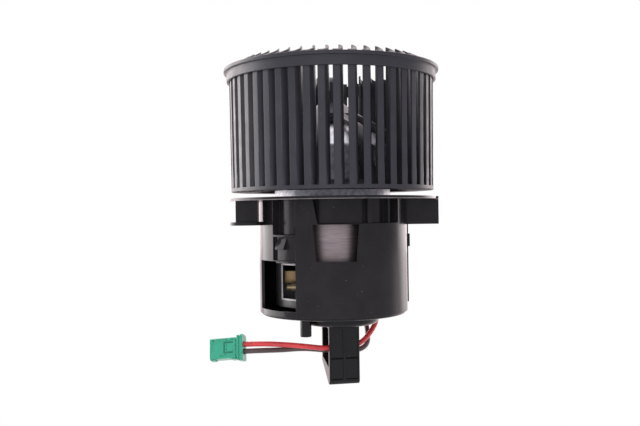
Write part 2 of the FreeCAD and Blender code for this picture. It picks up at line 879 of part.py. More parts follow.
def brush(side):
    """Carbon brush whose face is hollowed to the commutator."""
    start = commutator_r - overrun
    block = box((start, commutator_r + brush_face_gap + brush_length),
                (-brush_width / 2, brush_width / 2),
                (brush_z - brush_height / 2, brush_z + brush_height / 2))
    face = ring(0, commutator_r + brush_face_gap, brush_z - brush_height, brush_z + brush_height)
    return spun(block.cut(face), 90.0 * (1 - side))


def brush_spring(side):
    """Coil spring between the brush and the end of its holder, as stacked rings on a core."""
    x_low = commutator_r + brush_face_gap + brush_length
    x_high = holder_end_r - holder_wall
    pitch = (x_high - x_low - brush_spring_wire) / brush_spring_turns
    helix = Part.makeHelix(pitch, pitch * brush_spring_turns, brush_spring_r)
    profile = Part.Wire([Part.Circle(V(brush_spring_r, 0, 0), V(0, 1, 0),
                                     brush_spring_wire / 2).toShape()])
    coil = Part.Wire(helix.Edges).makePipeShell([profile], True, True)
    coil.rotate(V(0, 0, 0), V(0, 1, 0), 90)
    coil.translate(V(x_low + brush_spring_wire / 2, 0, brush_z))
    return spun(coil, 90.0 * (1 - side))


def choke(side):
    """Ferrite rod with a copper coil, lying beside the brush holder."""
    rod = Part.makeCylinder(choke_r, choke_length + 2 * choke_rod_end, V(0, 0, 0), V(1, 0, 0))
    coil = Part.makeCylinder(choke_wire_r, choke_length - 2 * choke_coil_end,
                             V(choke_rod_end + choke_coil_end, 0, 0), V(1, 0, 0))
    part = rod.fuse(coil)
    part.translate(V(choke_x - choke_length / 2 - choke_rod_end, choke_y, choke_z))
    return spun(part, 90.0 * (1 - side))


def suppression_capacitor():
    """Disc capacitor that stands on the floor of the end cover."""
    disc = Part.makeCylinder(capacitor_r, capacitor_t, V(0, 0, 0), V(0, 1, 0))
    disc.translate(V(*capacitor_place, end_floor_z + end_floor_t + capacitor_r))
    return disc


def thermal_cutout():
    """Small moulded block that opens the circuit when the motor runs hot."""
    x, y, z = cutout_size
    low = end_floor_z + end_floor_t
    x_low, y_low = cutout_place
    block = box((x_low, x_low + x), (y_low, y_low + y), (low, low + z))
    return block.makeChamfer(cutout_chamfer, block.Edges)


def end_cover_screws():
    """Two small screws in the floor of the end cover."""
    screws = []
    for side in (-1, 1):
        centre = (0, side * end_screw_pitch_r)
        head = post(end_screw_head_r, end_floor_z - end_screw_head_h, end_floor_z, centre)
        body = post(end_screw_r - press_gap, end_floor_z, end_floor_z + end_screw_length, centre)
        long_half, slot_half = end_screw_cross[0] / 2, end_screw_cross[1] / 2
        depth = end_screw_cross[2]
        cross = box((-long_half, long_half), (-slot_half, slot_half), (-depth, 0.0))
        cross = cross.fuse(box((-slot_half, slot_half), (-long_half, long_half), (-depth, 0.0)))
        cross.translate(V(centre[0], centre[1], end_floor_z - end_screw_head_h + depth))
        screws.append(head.fuse(body).cut(cross))
    return Part.makeCompound(screws)


# Housing

def pocket_tub(limits, lean=0.0):
    """Outer block of a pocket in the shell, with walls all round."""
    az_from, az_to, z_low = limits
    margin = math.degrees(pocket_wall / shell_r)
    return sector(pocket_floor_r - pocket_wall, shell_r, z_low - pocket_wall, bite,
                  az_from - lean - margin, az_to + margin)


def pocket_space(limits, lean=0.0):
    """Open space of a pocket in the shell. Its left side may lean outwards to the top."""
    az_from, az_to, z_low = limits
    space = sector(pocket_floor_r, shell_r + overrun, z_low, 0.0, az_from, az_to)
    if lean > 0:
        low = polar(shell_r, az_from, z_low)
        top = polar(shell_r, az_from - lean, 0.0)
        wedge = prism([low, top, V(low.x, low.y, 0.0)], V(0, 2 * pocket_floor_r - 2 * shell_r, 0))
        wedge.translate(V(0, shell_r - pocket_floor_r, 0))
        space = space.fuse(wedge.common(ring(pocket_floor_r, shell_r + overrun, z_low, 0.0)))
    return space


def window_plan(grow):
    """Corners of the trapezoid front window in the plane of the front."""
    x0, x1, z_top = front_window_top
    x2, x3, z_low = front_window_bottom
    return [(x0 - grow, z_top + grow), (x1 + grow, z_top + grow),
            (x3 + grow, z_low - grow), (x2 - grow, z_low - grow)]


def front_opening(grow, y_from, y_to):
    """Prism of the front window."""
    points = [V(x, y_from, z) for x, z in window_plan(grow)]
    return prism(points, V(0, y_to - y_from, 0))


def left_ear():
    """Post under the flange with a round-ended pad below."""
    y_ear, x_ear = ear_post[1] / 2, ear_post[0] / 2
    low = -ear_drop - ear_pad_t
    pad = ring(0, ear_pad_r, low, -ear_drop)
    pad = pad.fuse(box((-ear_pad_r, ear_pad_r), (0, ear_pad_r), (low, -ear_drop)))
    hollow = box((ear_wall - x_ear, x_ear - ear_wall), (ear_wall - y_ear, y_ear - ear_wall),
                 (-ear_drop, -flange_t / 2))
    column = box((-x_ear, x_ear), (-y_ear, y_ear), (-ear_drop, bite)).cut(hollow)
    ear = pad.fuse(column)
    ear = ear.cut(ring(0, ear_hole_r, low - overrun, -ear_drop + overrun))
    ear.translate(polar(shell_r + ear_reach, ear_azimuth))
    return ear.cut(ring(0, shell_r - shell_wall / 2, low - overrun, overrun))


def right_block():
    """Box bracket under the flange, open below."""
    w = block_wall
    outer = box(block_x, block_y, (-block_drop, flange_t))
    inner = box((block_x[0] + w, block_x[1] - w), (block_y[0] + w, block_y[1] - w),
                (-block_drop - overrun, -w))
    return outer.cut(inner)


def snap_hook():
    """Hook in the recess below the left pocket."""
    floor_r = shell_r - clip_recess
    return turned([
        (floor_r - bite, hook_top_z),
        (floor_r, hook_top_z),
        (floor_r + hook_reach, hook_low_z + hook_catch),
        (floor_r + hook_reach, hook_low_z),
        (floor_r - bite, hook_low_z),
    ], hook_azimuths[1] - hook_azimuths[0], hook_azimuths[0])


def blower_housing():
    """Flange, shell, collar, pockets, hook, ears and windows in one moulding."""
    flange = turned([
        (collar_r, 0),
        (flange_r, 0, flange_t / 4),
        (flange_r, flange_t, flange_t / 3),
        (collar_r, flange_t, flange_t / 4),
    ])
    shell = ring(shell_r - shell_wall, shell_r, seam_z, bite)
    collar = ring(collar_r, collar_r + collar_wall, -collar_depth, bite)
    parts = [shell, collar]
    for azimuth in web_azimuths:
        web = box((-web_t / 2, web_t / 2), (shell_wall / 2 - shell_r, -collar_r - bite), (web_low_z, bite))
        parts.append(spun(web, azimuth))
    parts.append(pocket_tub(front_pocket, front_pocket_lean))
    parts.append(pocket_tub(left_pocket))
    parts.append(pocket_tub((left_pocket[0], left_pocket[1], clip_low_z)))
    for height, heights in ((side_rib_height, side_rib_z), (side_clip_height, side_clip_z)):
        parts.append(sector(shell_r - bite, shell_r + height, *heights, *side_rib_azimuths))
    parts.append(left_ear())
    parts.append(right_block())
    housing = flange.multiFuse(parts)
    housing = housing.cut(pocket_space(front_pocket, front_pocket_lean))
    housing = housing.cut(pocket_space(left_pocket))
    recess = sector(shell_r - clip_recess, shell_r + overrun, clip_low_z + pocket_wall / 2,
                    left_pocket[2] - pocket_wall, left_pocket[0], left_pocket[1])
    housing = housing.cut(recess).fuse(snap_hook())
    for az_from, az_to in pocket_rib_angles:
        housing = housing.fuse(sector(pocket_floor_r - bite, shell_r - pocket_rib_inset,
                                      front_pocket[2] - bite, bite, az_from, az_to))
    window = sector(shell_r - shell_wall - overrun, shell_r + overrun, seam_z + left_window_sill,
                    clip_low_z, left_window[0], left_window[1])
    housing = housing.cut(window)
    housing = housing.cut(front_opening(0, -shell_r - overrun, -collar_r + collar_wall))
    for azimuth in flange_hole_azimuths:
        centre = polar(flange_hole_circle_r, azimuth)
        hole = post(flange_hole_r, -overrun, flange_t + overrun, (centre.x, centre.y))
        housing = housing.cut(hole)
    bore = post(collar_r, seam_z, flange_t + overrun, (0, 0))
    return housing.cut(bore).removeSplitter()


# Bottom cover

def foot_shape():
    """Cable foot: panelled front plate, rear plate and sloped side gussets round a slot."""
    half = foot_width / 2
    top = boss_low_z + overrun
    slot_top = boss_low_z - foot_slot_head
    slot_front = foot_low_z + foot_slot_front_rise
    slot_rear = foot_low_z + foot_slot_rear_rise

    def plate(outline, x_low, x_high):
        points = [V(x_low, y, z) for y, z in outline]
        return prism(points, V(x_high - x_low, 0, 0))

    side = [
        (foot_front_y, top),
        (foot_front_y, foot_low_z + foot_toe_chamfer[1]),
        (foot_front_y + foot_toe_chamfer[0], foot_low_z),
        (foot_front_y + foot_toe, foot_low_z),
        (foot_rear_y, foot_low_z + foot_rear_rise),
        (foot_rear_y, top),
    ]
    front_in = foot_front_y + foot_front_t
    rear_in = foot_rear_y - foot_rear_t
    slot = [(front_in, slot_top), (front_in, slot_front), (rear_in, slot_rear), (rear_in, slot_top)]
    under = [
        (front_in, slot_front - foot_floor_t),
        (front_in, foot_low_z - overrun),
        (foot_rear_y + overrun, foot_low_z - overrun),
        (foot_rear_y + overrun, slot_rear - foot_floor_t),
    ]
    foot = plate(side, -half, half)
    foot = foot.cut(plate(slot, -half - overrun, half + overrun))
    foot = foot.cut(plate(under, foot_side_t - half, half - foot_side_t))
    line_low = foot_low_z + foot_line_rise
    for x in ((foot_edge_t - half, -foot_rib_t / 2), (foot_rib_t / 2, half - foot_edge_t)):
        panel = box(x, (foot_front_y - overrun, foot_front_y + foot_panel_depth),
                    (foot_low_z + foot_toe_chamfer[1] + foot_panel_foot, boss_low_z - foot_panel_head))
        line = box(x, (foot_front_y, foot_front_y + foot_panel_depth + foot_line[1]),
                   (line_low, line_low + foot_line[0]))
        foot = foot.cut(panel).cut(line)
    foot.rotate(V(0, 0, 0), V(0, 0, 1), foot_turn)
    foot.translate(V(boss_centre[0], boss_centre[1], 0))
    return foot


def bottom_cover():
    """Cap, spigot, round boss, motor socket, peg and cable foot in one moulding."""
    cap_low = seam_z - cap_t
    cap_r = shell_r - cap_inset
    cap = turned([(0, cap_low), (cap_r, cap_low, cap_corner_r), (cap_r, seam_z), (0, seam_z)])
    spigot_r = shell_r - shell_wall - cap_spigot_gap
    spigot = ring(spigot_r - cap_spigot_wall, spigot_r, seam_z - bite, seam_z + cap_spigot_height)
    boss = turned([
        (0, boss_low_z),
        (boss_r, boss_low_z, boss_corner_r),
        (boss_r, cap_low + bite),
        (0, cap_low + bite),
    ])
    boss.translate(V(boss_centre[0], boss_centre[1], 0))
    hollow = post(boss_r - boss_wall, boss_low_z + boss_wall, seam_z + overrun, boss_centre)
    socket_r = nose_r + lower_isolator_t + isolator_gap
    socket = ring(socket_r, socket_r + socket_wall, boss_low_z + boss_wall - bite, seam_z + socket_rise)
    peg = turned([
        (0, peg_low_z),
        (peg_r, peg_low_z, peg_round),
        (peg_r, cap_low + bite),
        (0, cap_low + bite),
    ])
    peg.translate(V(peg_centre[0], peg_centre[1], 0))
    cover = cap.multiFuse([spigot, boss, peg, foot_shape()])
    cover = cover.cut(hollow).fuse(socket)
    hole = post(grommet_core_r, cap_low - overrun, seam_z + overrun, grommet_centre)
    return cover.cut(hole).removeSplitter()


def isolator_upper():
    """Rubber ring between the can and the collar, with three soft lips."""
    r_in = can_r + isolator_gap
    r_out = collar_r - isolator_gap
    z_high = -isolator_drop
    z_low = z_high - isolator_height
    waist = r_out - isolator_lip
    bands = 2 * isolator_lips - 1
    step = isolator_height / bands
    outline = [(r_in, z_low), (r_out, z_low)]
    for i in range(1, bands):
        z = z_low + step * i
        here, there = (r_out, waist) if i % 2 else (waist, r_out)
        outline += [(here, z), (there, z)]
    outline += [(r_out, z_high), (r_in, z_high)]
    return turned(outline)


def isolator_lower():
    """Rubber ring between the nose of the end cover and the socket of the bottom cover."""
    low = boss_low_z + boss_wall
    r_in = nose_r + isolator_gap / 2
    r_out = nose_r + lower_isolator_t + isolator_gap / 2
    return ring(r_in, r_out, low, low + lower_isolator_height)


# Leads and connector

def lead_grommet():
    """Rubber grommet in the bottom cover that both leads leave through."""
    cap_low = seam_z - cap_t
    core = ring(0, grommet_core_r - isolator_gap, cap_low - bite, seam_z + bite)
    head = turned([
        (0, grommet_low_z),
        (grommet_head_r, grommet_low_z, grommet_edge_r),
        (grommet_head_r, cap_low),
        (0, cap_low),
    ])
    back = ring(0, grommet_back_r, seam_z, seam_z + grommet_back_t)
    grommet = core.multiFuse([head, back])
    grommet.translate(V(grommet_centre[0], grommet_centre[1], 0))
    return grommet


def lead_path(points):
    """Straight runs joined by the largest tangent arcs that the runs allow."""
    edges = []
    radii = []
    start = points[0]
    for before, here, after in zip(points, points[1:], points[2:]):
        back = (before - here).normalize()
        ahead = (after - here).normalize()
        half_turn = (math.pi - back.getAngle(ahead)) / 2
        trim = lead_bend_share * min((before - here).Length, (after - here).Length)
        radius = trim / math.tan(half_turn)
        middle = (back + ahead).normalize()
        enter = here + back * trim
        leave = here + ahead * trim
        crown = here + middle * (radius / math.cos(half_turn) - radius)
        edges.append(Part.LineSegment(start, enter).toShape())
        edges.append(Part.Arc(enter, crown, leave).toShape())
        radii.append(round(radius, 1))
        start = leave
    edges.append(Part.LineSegment(start, points[-1]).toShape())
    return Part.Wire(edges), radii


def lead(name, way_out, route):
    """One insulated lead as a round tube, down from the grommet and along its route."""
    x, y = grommet_centre[0] + way_out[0], grommet_centre[1] + way_out[1]
    points = [V(x, y, grommet_low_z), V(x, y, way_out[2])] + [V(*p) for p in route]
    path, radii = lead_path(points)
    circle = Part.Circle(points[0], points[1] - points[0], lead_r).toShape()
    tube = path.makePipeShell([Part.Wire([circle])], True, False)
    expected = math.pi * lead_r ** 2 * path.Length
    print(name, "length", round(path.Length, 1), "radii", radii,
          "volume ratio", round(tube.Volume / expected, 4))
    return tube


def in_connector_frame(shape):
    """Move a shape from the connector's own frame, whose X = 0 is the lead side."""
    shape.rotate(V(0, 0, 0), V(1, 0, 0), -connector_roll)
    shape.rotate(V(0, 0, 0), V(0, 0, 1), -connector_yaw)
    shape.rotate(V(0, 0, 0), V(0, 1, 0), -connector_tilt)
    shape.translate(V(*connector_face))
    return shape


def centred_box(x, depth, height):
    """Box along X, centred in depth and height."""
    return box(x, (-depth / 2, depth / 2), (-height / 2, height / 2))


def long_edges(block):
    """Edges of a block that run along X."""
    return [e for e in block.Edges if abs(e.tangentAt(e.FirstParameter).x) > 0.9]


def connector_far_x():
    """Open end of the connector, in its own frame."""
    return -connector_collar[0] - connector_groove[0] - connector_body[0]


def lock_outline(grow):
    """Three sides of a frame, open towards the leads, in the front face."""
    w, h = lock_size
    b = lock_bar
    x_low, z_mid = connector_far_x() + lock_place[0], lock_place[1]
    y_face = -connector_body[1] / 2
    outer = box((x_low - grow, x_low + w + grow), (y_face, y_face + lock_t + grow),
                (z_mid - h / 2 - grow, z_mid + h / 2 + grow))
    inner = box((x_low + b + grow, x_low + w + overrun), (y_face - overrun, y_face + lock_t + overrun),
                (z_mid - h / 2 + b + grow, z_mid + h / 2 - b - grow))
    return outer.cut(inner)


def connector_shell():
    """Outer form: collar with two ridges, groove, body and its two key ribs below."""
    collar_l, collar_d, collar_h = connector_collar
    body_l, body_d, body_h = connector_body
    ridge_l, ridge_h = connector_ridge
    neck_l, neck_in = connector_neck
    groove_l, groove_in = connector_groove
    far = connector_far_x()
    front = centred_box((ridge_l + neck_l - collar_l, 0), collar_d, collar_h)
    front = front.makeChamfer(connector_chamfer, long_edges(front))
    neck = centred_box((-collar_l, -bite), collar_d - 2 * neck_in, ridge_h - 2 * neck_in)
    ridge = centred_box((-collar_l, ridge_l - collar_l), collar_d, ridge_h)
    ridge = ridge.makeChamfer(connector_chamfer / 2, long_edges(ridge))
    core = centred_box((-collar_l - groove_l - bite, bite - collar_l), body_d - 2 * groove_in,
                       body_h - 2 * groove_in)
    body = centred_box((far, far + body_l), body_d, body_h)
    body = body.makeChamfer(connector_chamfer / 2, long_edges(body))
    key_l, key_w, key_h = connector_key
    keys = [box((x, x + key_l), (-key_w / 2, key_w / 2), (-body_h / 2 - key_h, bite - body_h / 2))
            for x in (far, far + body_l - key_l)]
    return body.multiFuse([front, neck, ridge, core] + keys)


def connector_housing():
    """Moulded shell with its socket, lead entries, lock seat and the marks in its face."""
    far = connector_far_x()
    y_face = -connector_body[1] / 2
    shell = connector_shell()
    shell = shell.cut(centred_box((far - overrun, far + socket_depth), socket_size[0], socket_size[1]))
    for side in (-1, 1):
        entry = Part.makeCylinder(entry_r, entry_depth + overrun, V(-entry_depth, 0, side * entry_offset),
                                  V(1, 0, 0))
        bore = Part.makeCylinder(barrel_r + barrel_gap, -far - entry_depth - overrun,
                                 V(far + overrun, 0, side * entry_offset), V(1, 0, 0))
        shell = shell.cut(entry).cut(bore)
    shell = shell.cut(lock_outline(lock_gap))
    y = (y_face - overrun, y_face + face_mark_depth)
    for x, z in face_pits:
        pit = Part.makeCylinder(face_pit_r, y[1] - y[0], V(far + x, y[0], z), V(0, 1, 0))
        shell = shell.cut(pit)
    for x, z, width, height in face_slots:
        mark = box((far + x - width / 2, far + x + width / 2), y, (z - height / 2, z + height / 2))
        shell = shell.cut(mark)
    return in_connector_frame(shell)


def connector_lock():
    """Secondary lock, a small frame in the front face."""
    return in_connector_frame(lock_outline(0.0))


def connector_terminals():
    """Two blades in the socket with their barrels at the leads."""
    far = connector_far_x()
    stop = -lead_end_depth - lead_end_gap
    blades = []
    for side in (-1, 1):
        z = side * entry_offset
        t, w = terminal_size
        blade = box((far + terminal_set_back, far + socket_depth + terminal_root), (-w / 2, w / 2),
                    (z - t / 2, z + t / 2))
        barrel = Part.makeCylinder(barrel_r, stop - (far + socket_depth), V(far + socket_depth, 0, z),
                                   V(1, 0, 0))
        blades.append(blade.fuse(barrel))
    return in_connector_frame(Part.makeCompound(blades))


def main():
    """Build every piece."""
    os.makedirs("parts", exist_ok=True)
    upper_bush = upper_bush_z()
    lower_bush = lower_bush_z()
    save(fan_wheel(), "fan_wheel")
    save(wheel_clip(), "wheel_clip")
    save(motor_shaft(), "motor_shaft")
    save(armature_core(), "armature_core")
    save(slot_insulators(), "slot_insulators")
    save(armature_windings(), "armature_windings")
    save(commutator(), "commutator")
    save(thrust_washer(upper_bush - washer_t - washer_play), "upper_thrust_washer")
    save(thrust_washer(lower_bush + bush_height + washer_play), "lower_thrust_washer")
    save(bearing_bush(upper_bush), "upper_bearing")
    save(bearing_bush(lower_bush), "lower_bearing")
    save(bearing_retainer(upper_bush - retainer_t, bush_r + retainer_rim), "upper_bearing_retainer")
    save(bearing_retainer(lower_bush + bush_height, bush_r + bush_seat_wall), "lower_bearing_retainer")
    save(motor_can(), "motor_can")
    save(magnet(-90.0), "magnet_left")
    save(magnet(90.0), "magnet_right")
    save(magnet_springs(), "magnet_springs")
    save(end_cover(), "end_cover")
    for side, name in ((-1, "left"), (1, "right")):
        save(brush_holder(side), "brush_holder_" + name)
        save(brush(side), "brush_" + name)
        save(brush_spring(side), "brush_spring_" + name)
        save(choke(side), "choke_" + name)
    save(suppression_capacitor(), "suppression_capacitor")
    save(thermal_cutout(), "thermal_cutout")
    save(end_cover_screws(), "end_cover_screws")
    save(blower_housing(), "blower_housing")
    save(isolator_upper(), "isolator_upper")
    save(isolator_lower(), "isolator_lower")
    save(bottom_cover(), "bottom_cover")
    save(lead_grommet(), "lead_grommet")
    save(lead("red lead", red_exit, red_route), "red_lead")
    save(lead("dark lead", dark_exit, dark_route), "dark_lead")
    save(connector_housing(), "connector_housing")
    save(connector_lock(), "connector_lock")
    save(connector_terminals(), "connector_terminals")


main()
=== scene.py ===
import logging
import math
from dataclasses import dataclass, field
from enum import Enum

import bmesh
import bpy
from mathutils import Matrix, Vector


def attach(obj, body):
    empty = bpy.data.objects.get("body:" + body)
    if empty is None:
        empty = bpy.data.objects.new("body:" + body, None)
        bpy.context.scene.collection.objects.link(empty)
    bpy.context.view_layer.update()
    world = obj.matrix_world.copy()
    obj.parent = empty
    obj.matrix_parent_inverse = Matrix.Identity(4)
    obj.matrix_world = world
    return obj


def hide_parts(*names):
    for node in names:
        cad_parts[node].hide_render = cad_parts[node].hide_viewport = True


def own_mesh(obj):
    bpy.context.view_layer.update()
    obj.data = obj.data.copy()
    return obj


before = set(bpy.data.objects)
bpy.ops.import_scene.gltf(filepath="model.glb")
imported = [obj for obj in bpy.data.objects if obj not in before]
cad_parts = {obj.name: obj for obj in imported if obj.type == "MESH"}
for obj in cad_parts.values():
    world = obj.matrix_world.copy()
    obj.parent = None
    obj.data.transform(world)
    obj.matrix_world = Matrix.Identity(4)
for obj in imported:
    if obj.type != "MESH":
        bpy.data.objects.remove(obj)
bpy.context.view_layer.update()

MM = 0.001
log = logging.getLogger("blower")

Point = tuple[float, float, float]
Colour = tuple[float, float, float]
Outline = tuple[tuple[float, float], ...]
Section = tuple[tuple[float, float, float], ...]


class Body(Enum):
    """Rigid bodies that pieces ride on."""

    ROOT = "root"
    ROTOR = "rotor"


class Along(Enum):
    """Direction in which fine lines run on a metal finish."""

    ROUND_THE_AXIS = (1.0, 1.0, 40.0)
    UP_THE_AXIS = (30.0, 30.0, 1.0)
    NONE = (1.0, 1.0, 1.0)


# Nodes

MIX_COLOURS = (6, 7)  # inputs of a Mix node that take its two colours
MIX_RESULT = 2  # output of a Mix node that gives the blended colour


class Nodes:
    """Short calls for the nodes of one tree."""

    def __init__(self, tree: bpy.types.NodeTree) -> None:
        """Work on a tree.

        Args:
            tree: Any node tree.
        """
        self.tree = tree

    def give(self, node: bpy.types.Node, index: int, value: object) -> None:
        """Feed one input of a node.

        Args:
            node: The node.
            index: Index of its input.
            value: A socket to link, or a constant.
        """
        if isinstance(value, bpy.types.NodeSocket):
            self.tree.links.new(value, node.inputs[index])
        else:
            node.inputs[index].default_value = value

    def maths(self, operation: str, *values: object) -> bpy.types.NodeSocket:
        """One Math node.

        Args:
            operation: Its operation.
            values: Numbers or sockets, in the order of its inputs.

        Returns:
            The result.
        """
        node = self.tree.nodes.new("ShaderNodeMath")
        node.operation = operation
        for index, value in enumerate(values):
            self.give(node, index, value)
        return node.outputs[0]

    def spread(self, value: bpy.types.NodeSocket, low: float, high: float,
               to_low: float = 0.0, to_high: float = 1.0) -> bpy.types.NodeSocket:
        """Map a range of a value to another range, clamped.

        Args:
            value: What to map.
            low: Value that becomes to_low.
            high: Value that becomes to_high.
            to_low: First result.
            to_high: Last result.

        Returns:
            The mapped value.
        """
        node = self.tree.nodes.new("ShaderNodeMapRange")
        self.tree.links.new(value, node.inputs["Value"])
        for name, number in (("From Min", low), ("From Max", high),
                             ("To Min", to_low), ("To Max", to_high)):
            node.inputs[name].default_value = number
        return node.outputs["Result"]

    def mix(self, factor: bpy.types.NodeSocket, first: object, second: object) -> bpy.types.NodeSocket:
        """Blend two colours.

        Args:
            factor: 0 for the first and 1 for the second.
            first: A colour or a socket.
            second: A colour or a socket.

        Returns:
            The blended colour.
        """
        node = self.tree.nodes.new("ShaderNodeMix")
        node.data_type = "RGBA"
        self.tree.links.new(factor, node.inputs[0])
        for index, value in zip(MIX_COLOURS, (first, second)):
            self.give(node, index, (*value, 1.0) if isinstance(value, tuple) else value)
        return node.outputs[MIX_RESULT]


# Finishes

DUST_CELL = 0.0021
DUST_PATCH = 0.009
DUST_COLOUR: Colour = (0.42, 0.38, 0.36)
COAT_ROUGHNESS = 0.08


class NodeSheet(Nodes):
    """Node tree of one finish, with the patterns that finishes share."""

    def __init__(self, name: str) -> None:
        """Start a material whose patterns read Object coordinates.

        Args:
            name: Name of the material.
        """
        self.material = bpy.data.materials.new(name)
        self.material.use_nodes = True
        super().__init__(self.material.node_tree)
        self.shader = self.tree.nodes["Principled BSDF"]
        self.place = self.tree.nodes.new("ShaderNodeTexCoord").outputs["Object"]

    def set(self, **values: float | tuple) -> None:
        """Set constants on the shader's own sockets.

        Args:
            values: Socket names with spaces as underscores, and their values.
        """
        for key, value in values.items():
            self.shader.inputs[key.replace("_", " ")].default_value = value

    def feed(self, socket: bpy.types.NodeSocket, name: str) -> None:
        """Link a socket to one input of the shader."""
        self.tree.links.new(socket, self.shader.inputs[name])

    def stretched(self, scale: Point) -> bpy.types.NodeSocket:
        """Object coordinates scaled by axis.

        Args:
            scale: Factors along X, Y and Z.

        Returns:
            The mapped vector.
        """
        node = self.tree.nodes.new("ShaderNodeMapping")
        self.tree.links.new(self.place, node.inputs["Vector"])
        node.inputs["Scale"].default_value = scale
        return node.outputs["Vector"]

    def noise(self, vector: bpy.types.NodeSocket, size: float,
              detail: float = 3.0) -> bpy.types.NodeSocket:
        """Smooth noise.

        Args:
            vector: Where to read it.
            size: Size of a patch, in metres.
            detail: Number of finer octaves.

        Returns:
            The noise from 0 to 1.
        """
        node = self.tree.nodes.new("ShaderNodeTexNoise")
        self.tree.links.new(vector, node.inputs["Vector"])
        node.inputs["Scale"].default_value = 1.0 / size
        node.inputs["Detail"].default_value = detail
        return node.outputs["Fac"]

    def height(self) -> bpy.types.NodeSocket:
        """Height in Object coordinates."""
        split = self.tree.nodes.new("ShaderNodeSeparateXYZ")
        self.tree.links.new(self.place, split.inputs[0])
        return split.outputs["Z"]

    def specks(self, size: float, share: float) -> bpy.types.NodeSocket:
        """Small round specks.

        Args:
            size: Spacing of the cells that hold them, in metres.
            share: Radius of a speck as a share of its cell.

        Returns:
            1 on a speck and 0 between them.
        """
        node = self.tree.nodes.new("ShaderNodeTexVoronoi")
        self.tree.links.new(self.place, node.inputs["Vector"])
        node.inputs["Scale"].default_value = 1.0 / size
        return self.spread(node.outputs["Distance"], share, share * 0.6)

    def bump(self, heights: list[tuple[bpy.types.NodeSocket, float]]) -> None:
        """Chain bumps into the shader's normal.

        Args:
            heights: Height sockets with their depth in metres.
        """
        normal = None
        for height, depth in heights:
            node = self.tree.nodes.new("ShaderNodeBump")
            node.inputs["Strength"].default_value = 1.0
            node.inputs["Distance"].default_value = depth
            self.tree.links.new(height, node.inputs["Height"])
            if normal is not None:
                self.tree.links.new(normal, node.inputs["Normal"])
            normal = node.outputs["Normal"]
        self.feed(normal, "Normal")


def scaled(colour: Colour, level: float) -> Colour:
    """A colour times a level."""
    return tuple(c * level for c in colour)


def darker(colour: Colour, share: float) -> Colour:
    """A colour made darker by a share, or brighter if the share is negative."""
    return scaled(colour, 1.0 - share)


@dataclass(frozen=True)
class Finish:
    """A finish of one material, with patches of colour, a fine grain and specks of dust.

    Sizes are in metres.
    """

    name: str
    slot: str
    colour: Colour
    roughness: float = 0.5
    metallic: float = 0.0
    variation: float = 0.15
    patch: float = 0.014
    grain: float = 0.0005
    grain_depth: float = 0.00001
    coat: float = 0.0
    specular: float = 0.5
    dust: float = 0.0

    def heights(self, sheet: NodeSheet) -> list[tuple[bpy.types.NodeSocket, float]]:
        """Bumps of the surface, the finest last."""
        return [(sheet.noise(sheet.place, self.grain, 4.0), self.grain_depth)]

    def tint(self, sheet: NodeSheet) -> bpy.types.NodeSocket:
        """Colour of the surface before dust."""
        patches = sheet.spread(sheet.noise(sheet.place, self.patch), 0.3, 0.7)
        dark, pale = darker(self.colour, self.variation), darker(self.colour, -self.variation)
        return sheet.mix(patches, dark, pale)

    def dullness(self, sheet: NodeSheet) -> bpy.types.NodeSocket:
        """Roughness of the surface before dust."""
        patches = sheet.noise(sheet.place, self.patch * 0.6, 5.0)
        return sheet.spread(patches, 0.3, 0.7, self.roughness * 0.85, min(1.0, self.roughness * 1.2))

    def material(self) -> bpy.types.Material:
        """The finish as a material, made once.

        Returns:
            The material.
        """
        title = "finish_" + self.name
        known = bpy.data.materials.get(title)
        if known is not None:
            return known
        sheet = NodeSheet(title)
        colour = self.tint(sheet)
        rough = self.dullness(sheet)
        if self.dust > 0.0:
            specks = sheet.specks(DUST_CELL, 0.05 + 0.09 * self.dust)
            gate = sheet.spread(sheet.noise(sheet.place, DUST_PATCH, 2.0), 0.5, 0.62)
            mask = sheet.maths("MULTIPLY", specks, gate)
            colour = sheet.mix(mask, colour, DUST_COLOUR)
            rough = sheet.maths("MAXIMUM", rough, mask)
        sheet.feed(colour, "Base Color")
        sheet.feed(rough, "Roughness")
        sheet.set(Metallic=self.metallic, Coat_Weight=self.coat, Coat_Roughness=COAT_ROUGHNESS,
                  Specular_IOR_Level=self.specular)
        sheet.bump(self.heights(sheet))
        return sheet.material


@dataclass(frozen=True)
class GlossMoulding(Finish):
    """Glossy moulded plastic with the slow waves of a thin wall."""

    wave: float = 0.022
    wave_depth: float = 0.00003

    def heights(self, sheet: NodeSheet) -> list[tuple[bpy.types.NodeSocket, float]]:
        """Slow waves and a fine grain."""
        wave = sheet.noise(sheet.place, self.wave, 1.0)
        return [(wave, self.wave_depth)] + Finish.heights(self, sheet)


@dataclass(frozen=True)
class RimHighlightMoulding(GlossMoulding):
    """Glossy moulded plastic with a painted highlight: a thin paler line round its flange's rim, broken
    up by noise.
    """

    # edge is the colour of the painted highlight line on the flange's rim.
    edge: Colour = (0.17, 0.155, 0.155)
    highlight_from_r: float = 0.0717
    highlight_foot: tuple[float, float] = (-0.0003, -0.0001)
    highlight_top: float = 0.0006
    highlight_fade: float = 0.0002
    highlight_breakup: float = 0.009

    def tint(self, sheet: NodeSheet) -> bpy.types.NodeSocket:
        """Patches, and the painted highlight line where a point is far out and between foot and top."""
        flat = sheet.tree.nodes.new("ShaderNodeVectorMath")
        flat.operation = "LENGTH"
        sheet.tree.links.new(sheet.stretched((1.0, 1.0, 0.0)), flat.inputs[0])
        out = sheet.spread(flat.outputs["Value"], self.highlight_from_r, self.highlight_from_r + self.highlight_fade)
        low = sheet.spread(sheet.height(), self.highlight_top, self.highlight_top - self.highlight_fade)
        # Noise breaks up the painted highlight line.
        broken_up = sheet.spread(sheet.noise(sheet.place, self.highlight_breakup, 4.0), 0.25, 0.5, 0.35, 1.0)
        above = sheet.spread(sheet.height(), *self.highlight_foot)
        place = sheet.maths("MULTIPLY", out, low)
        mask = sheet.maths("MULTIPLY", place, sheet.maths("MULTIPLY", above, broken_up))
        return sheet.mix(mask, GlossMoulding.tint(self, sheet), self.edge)


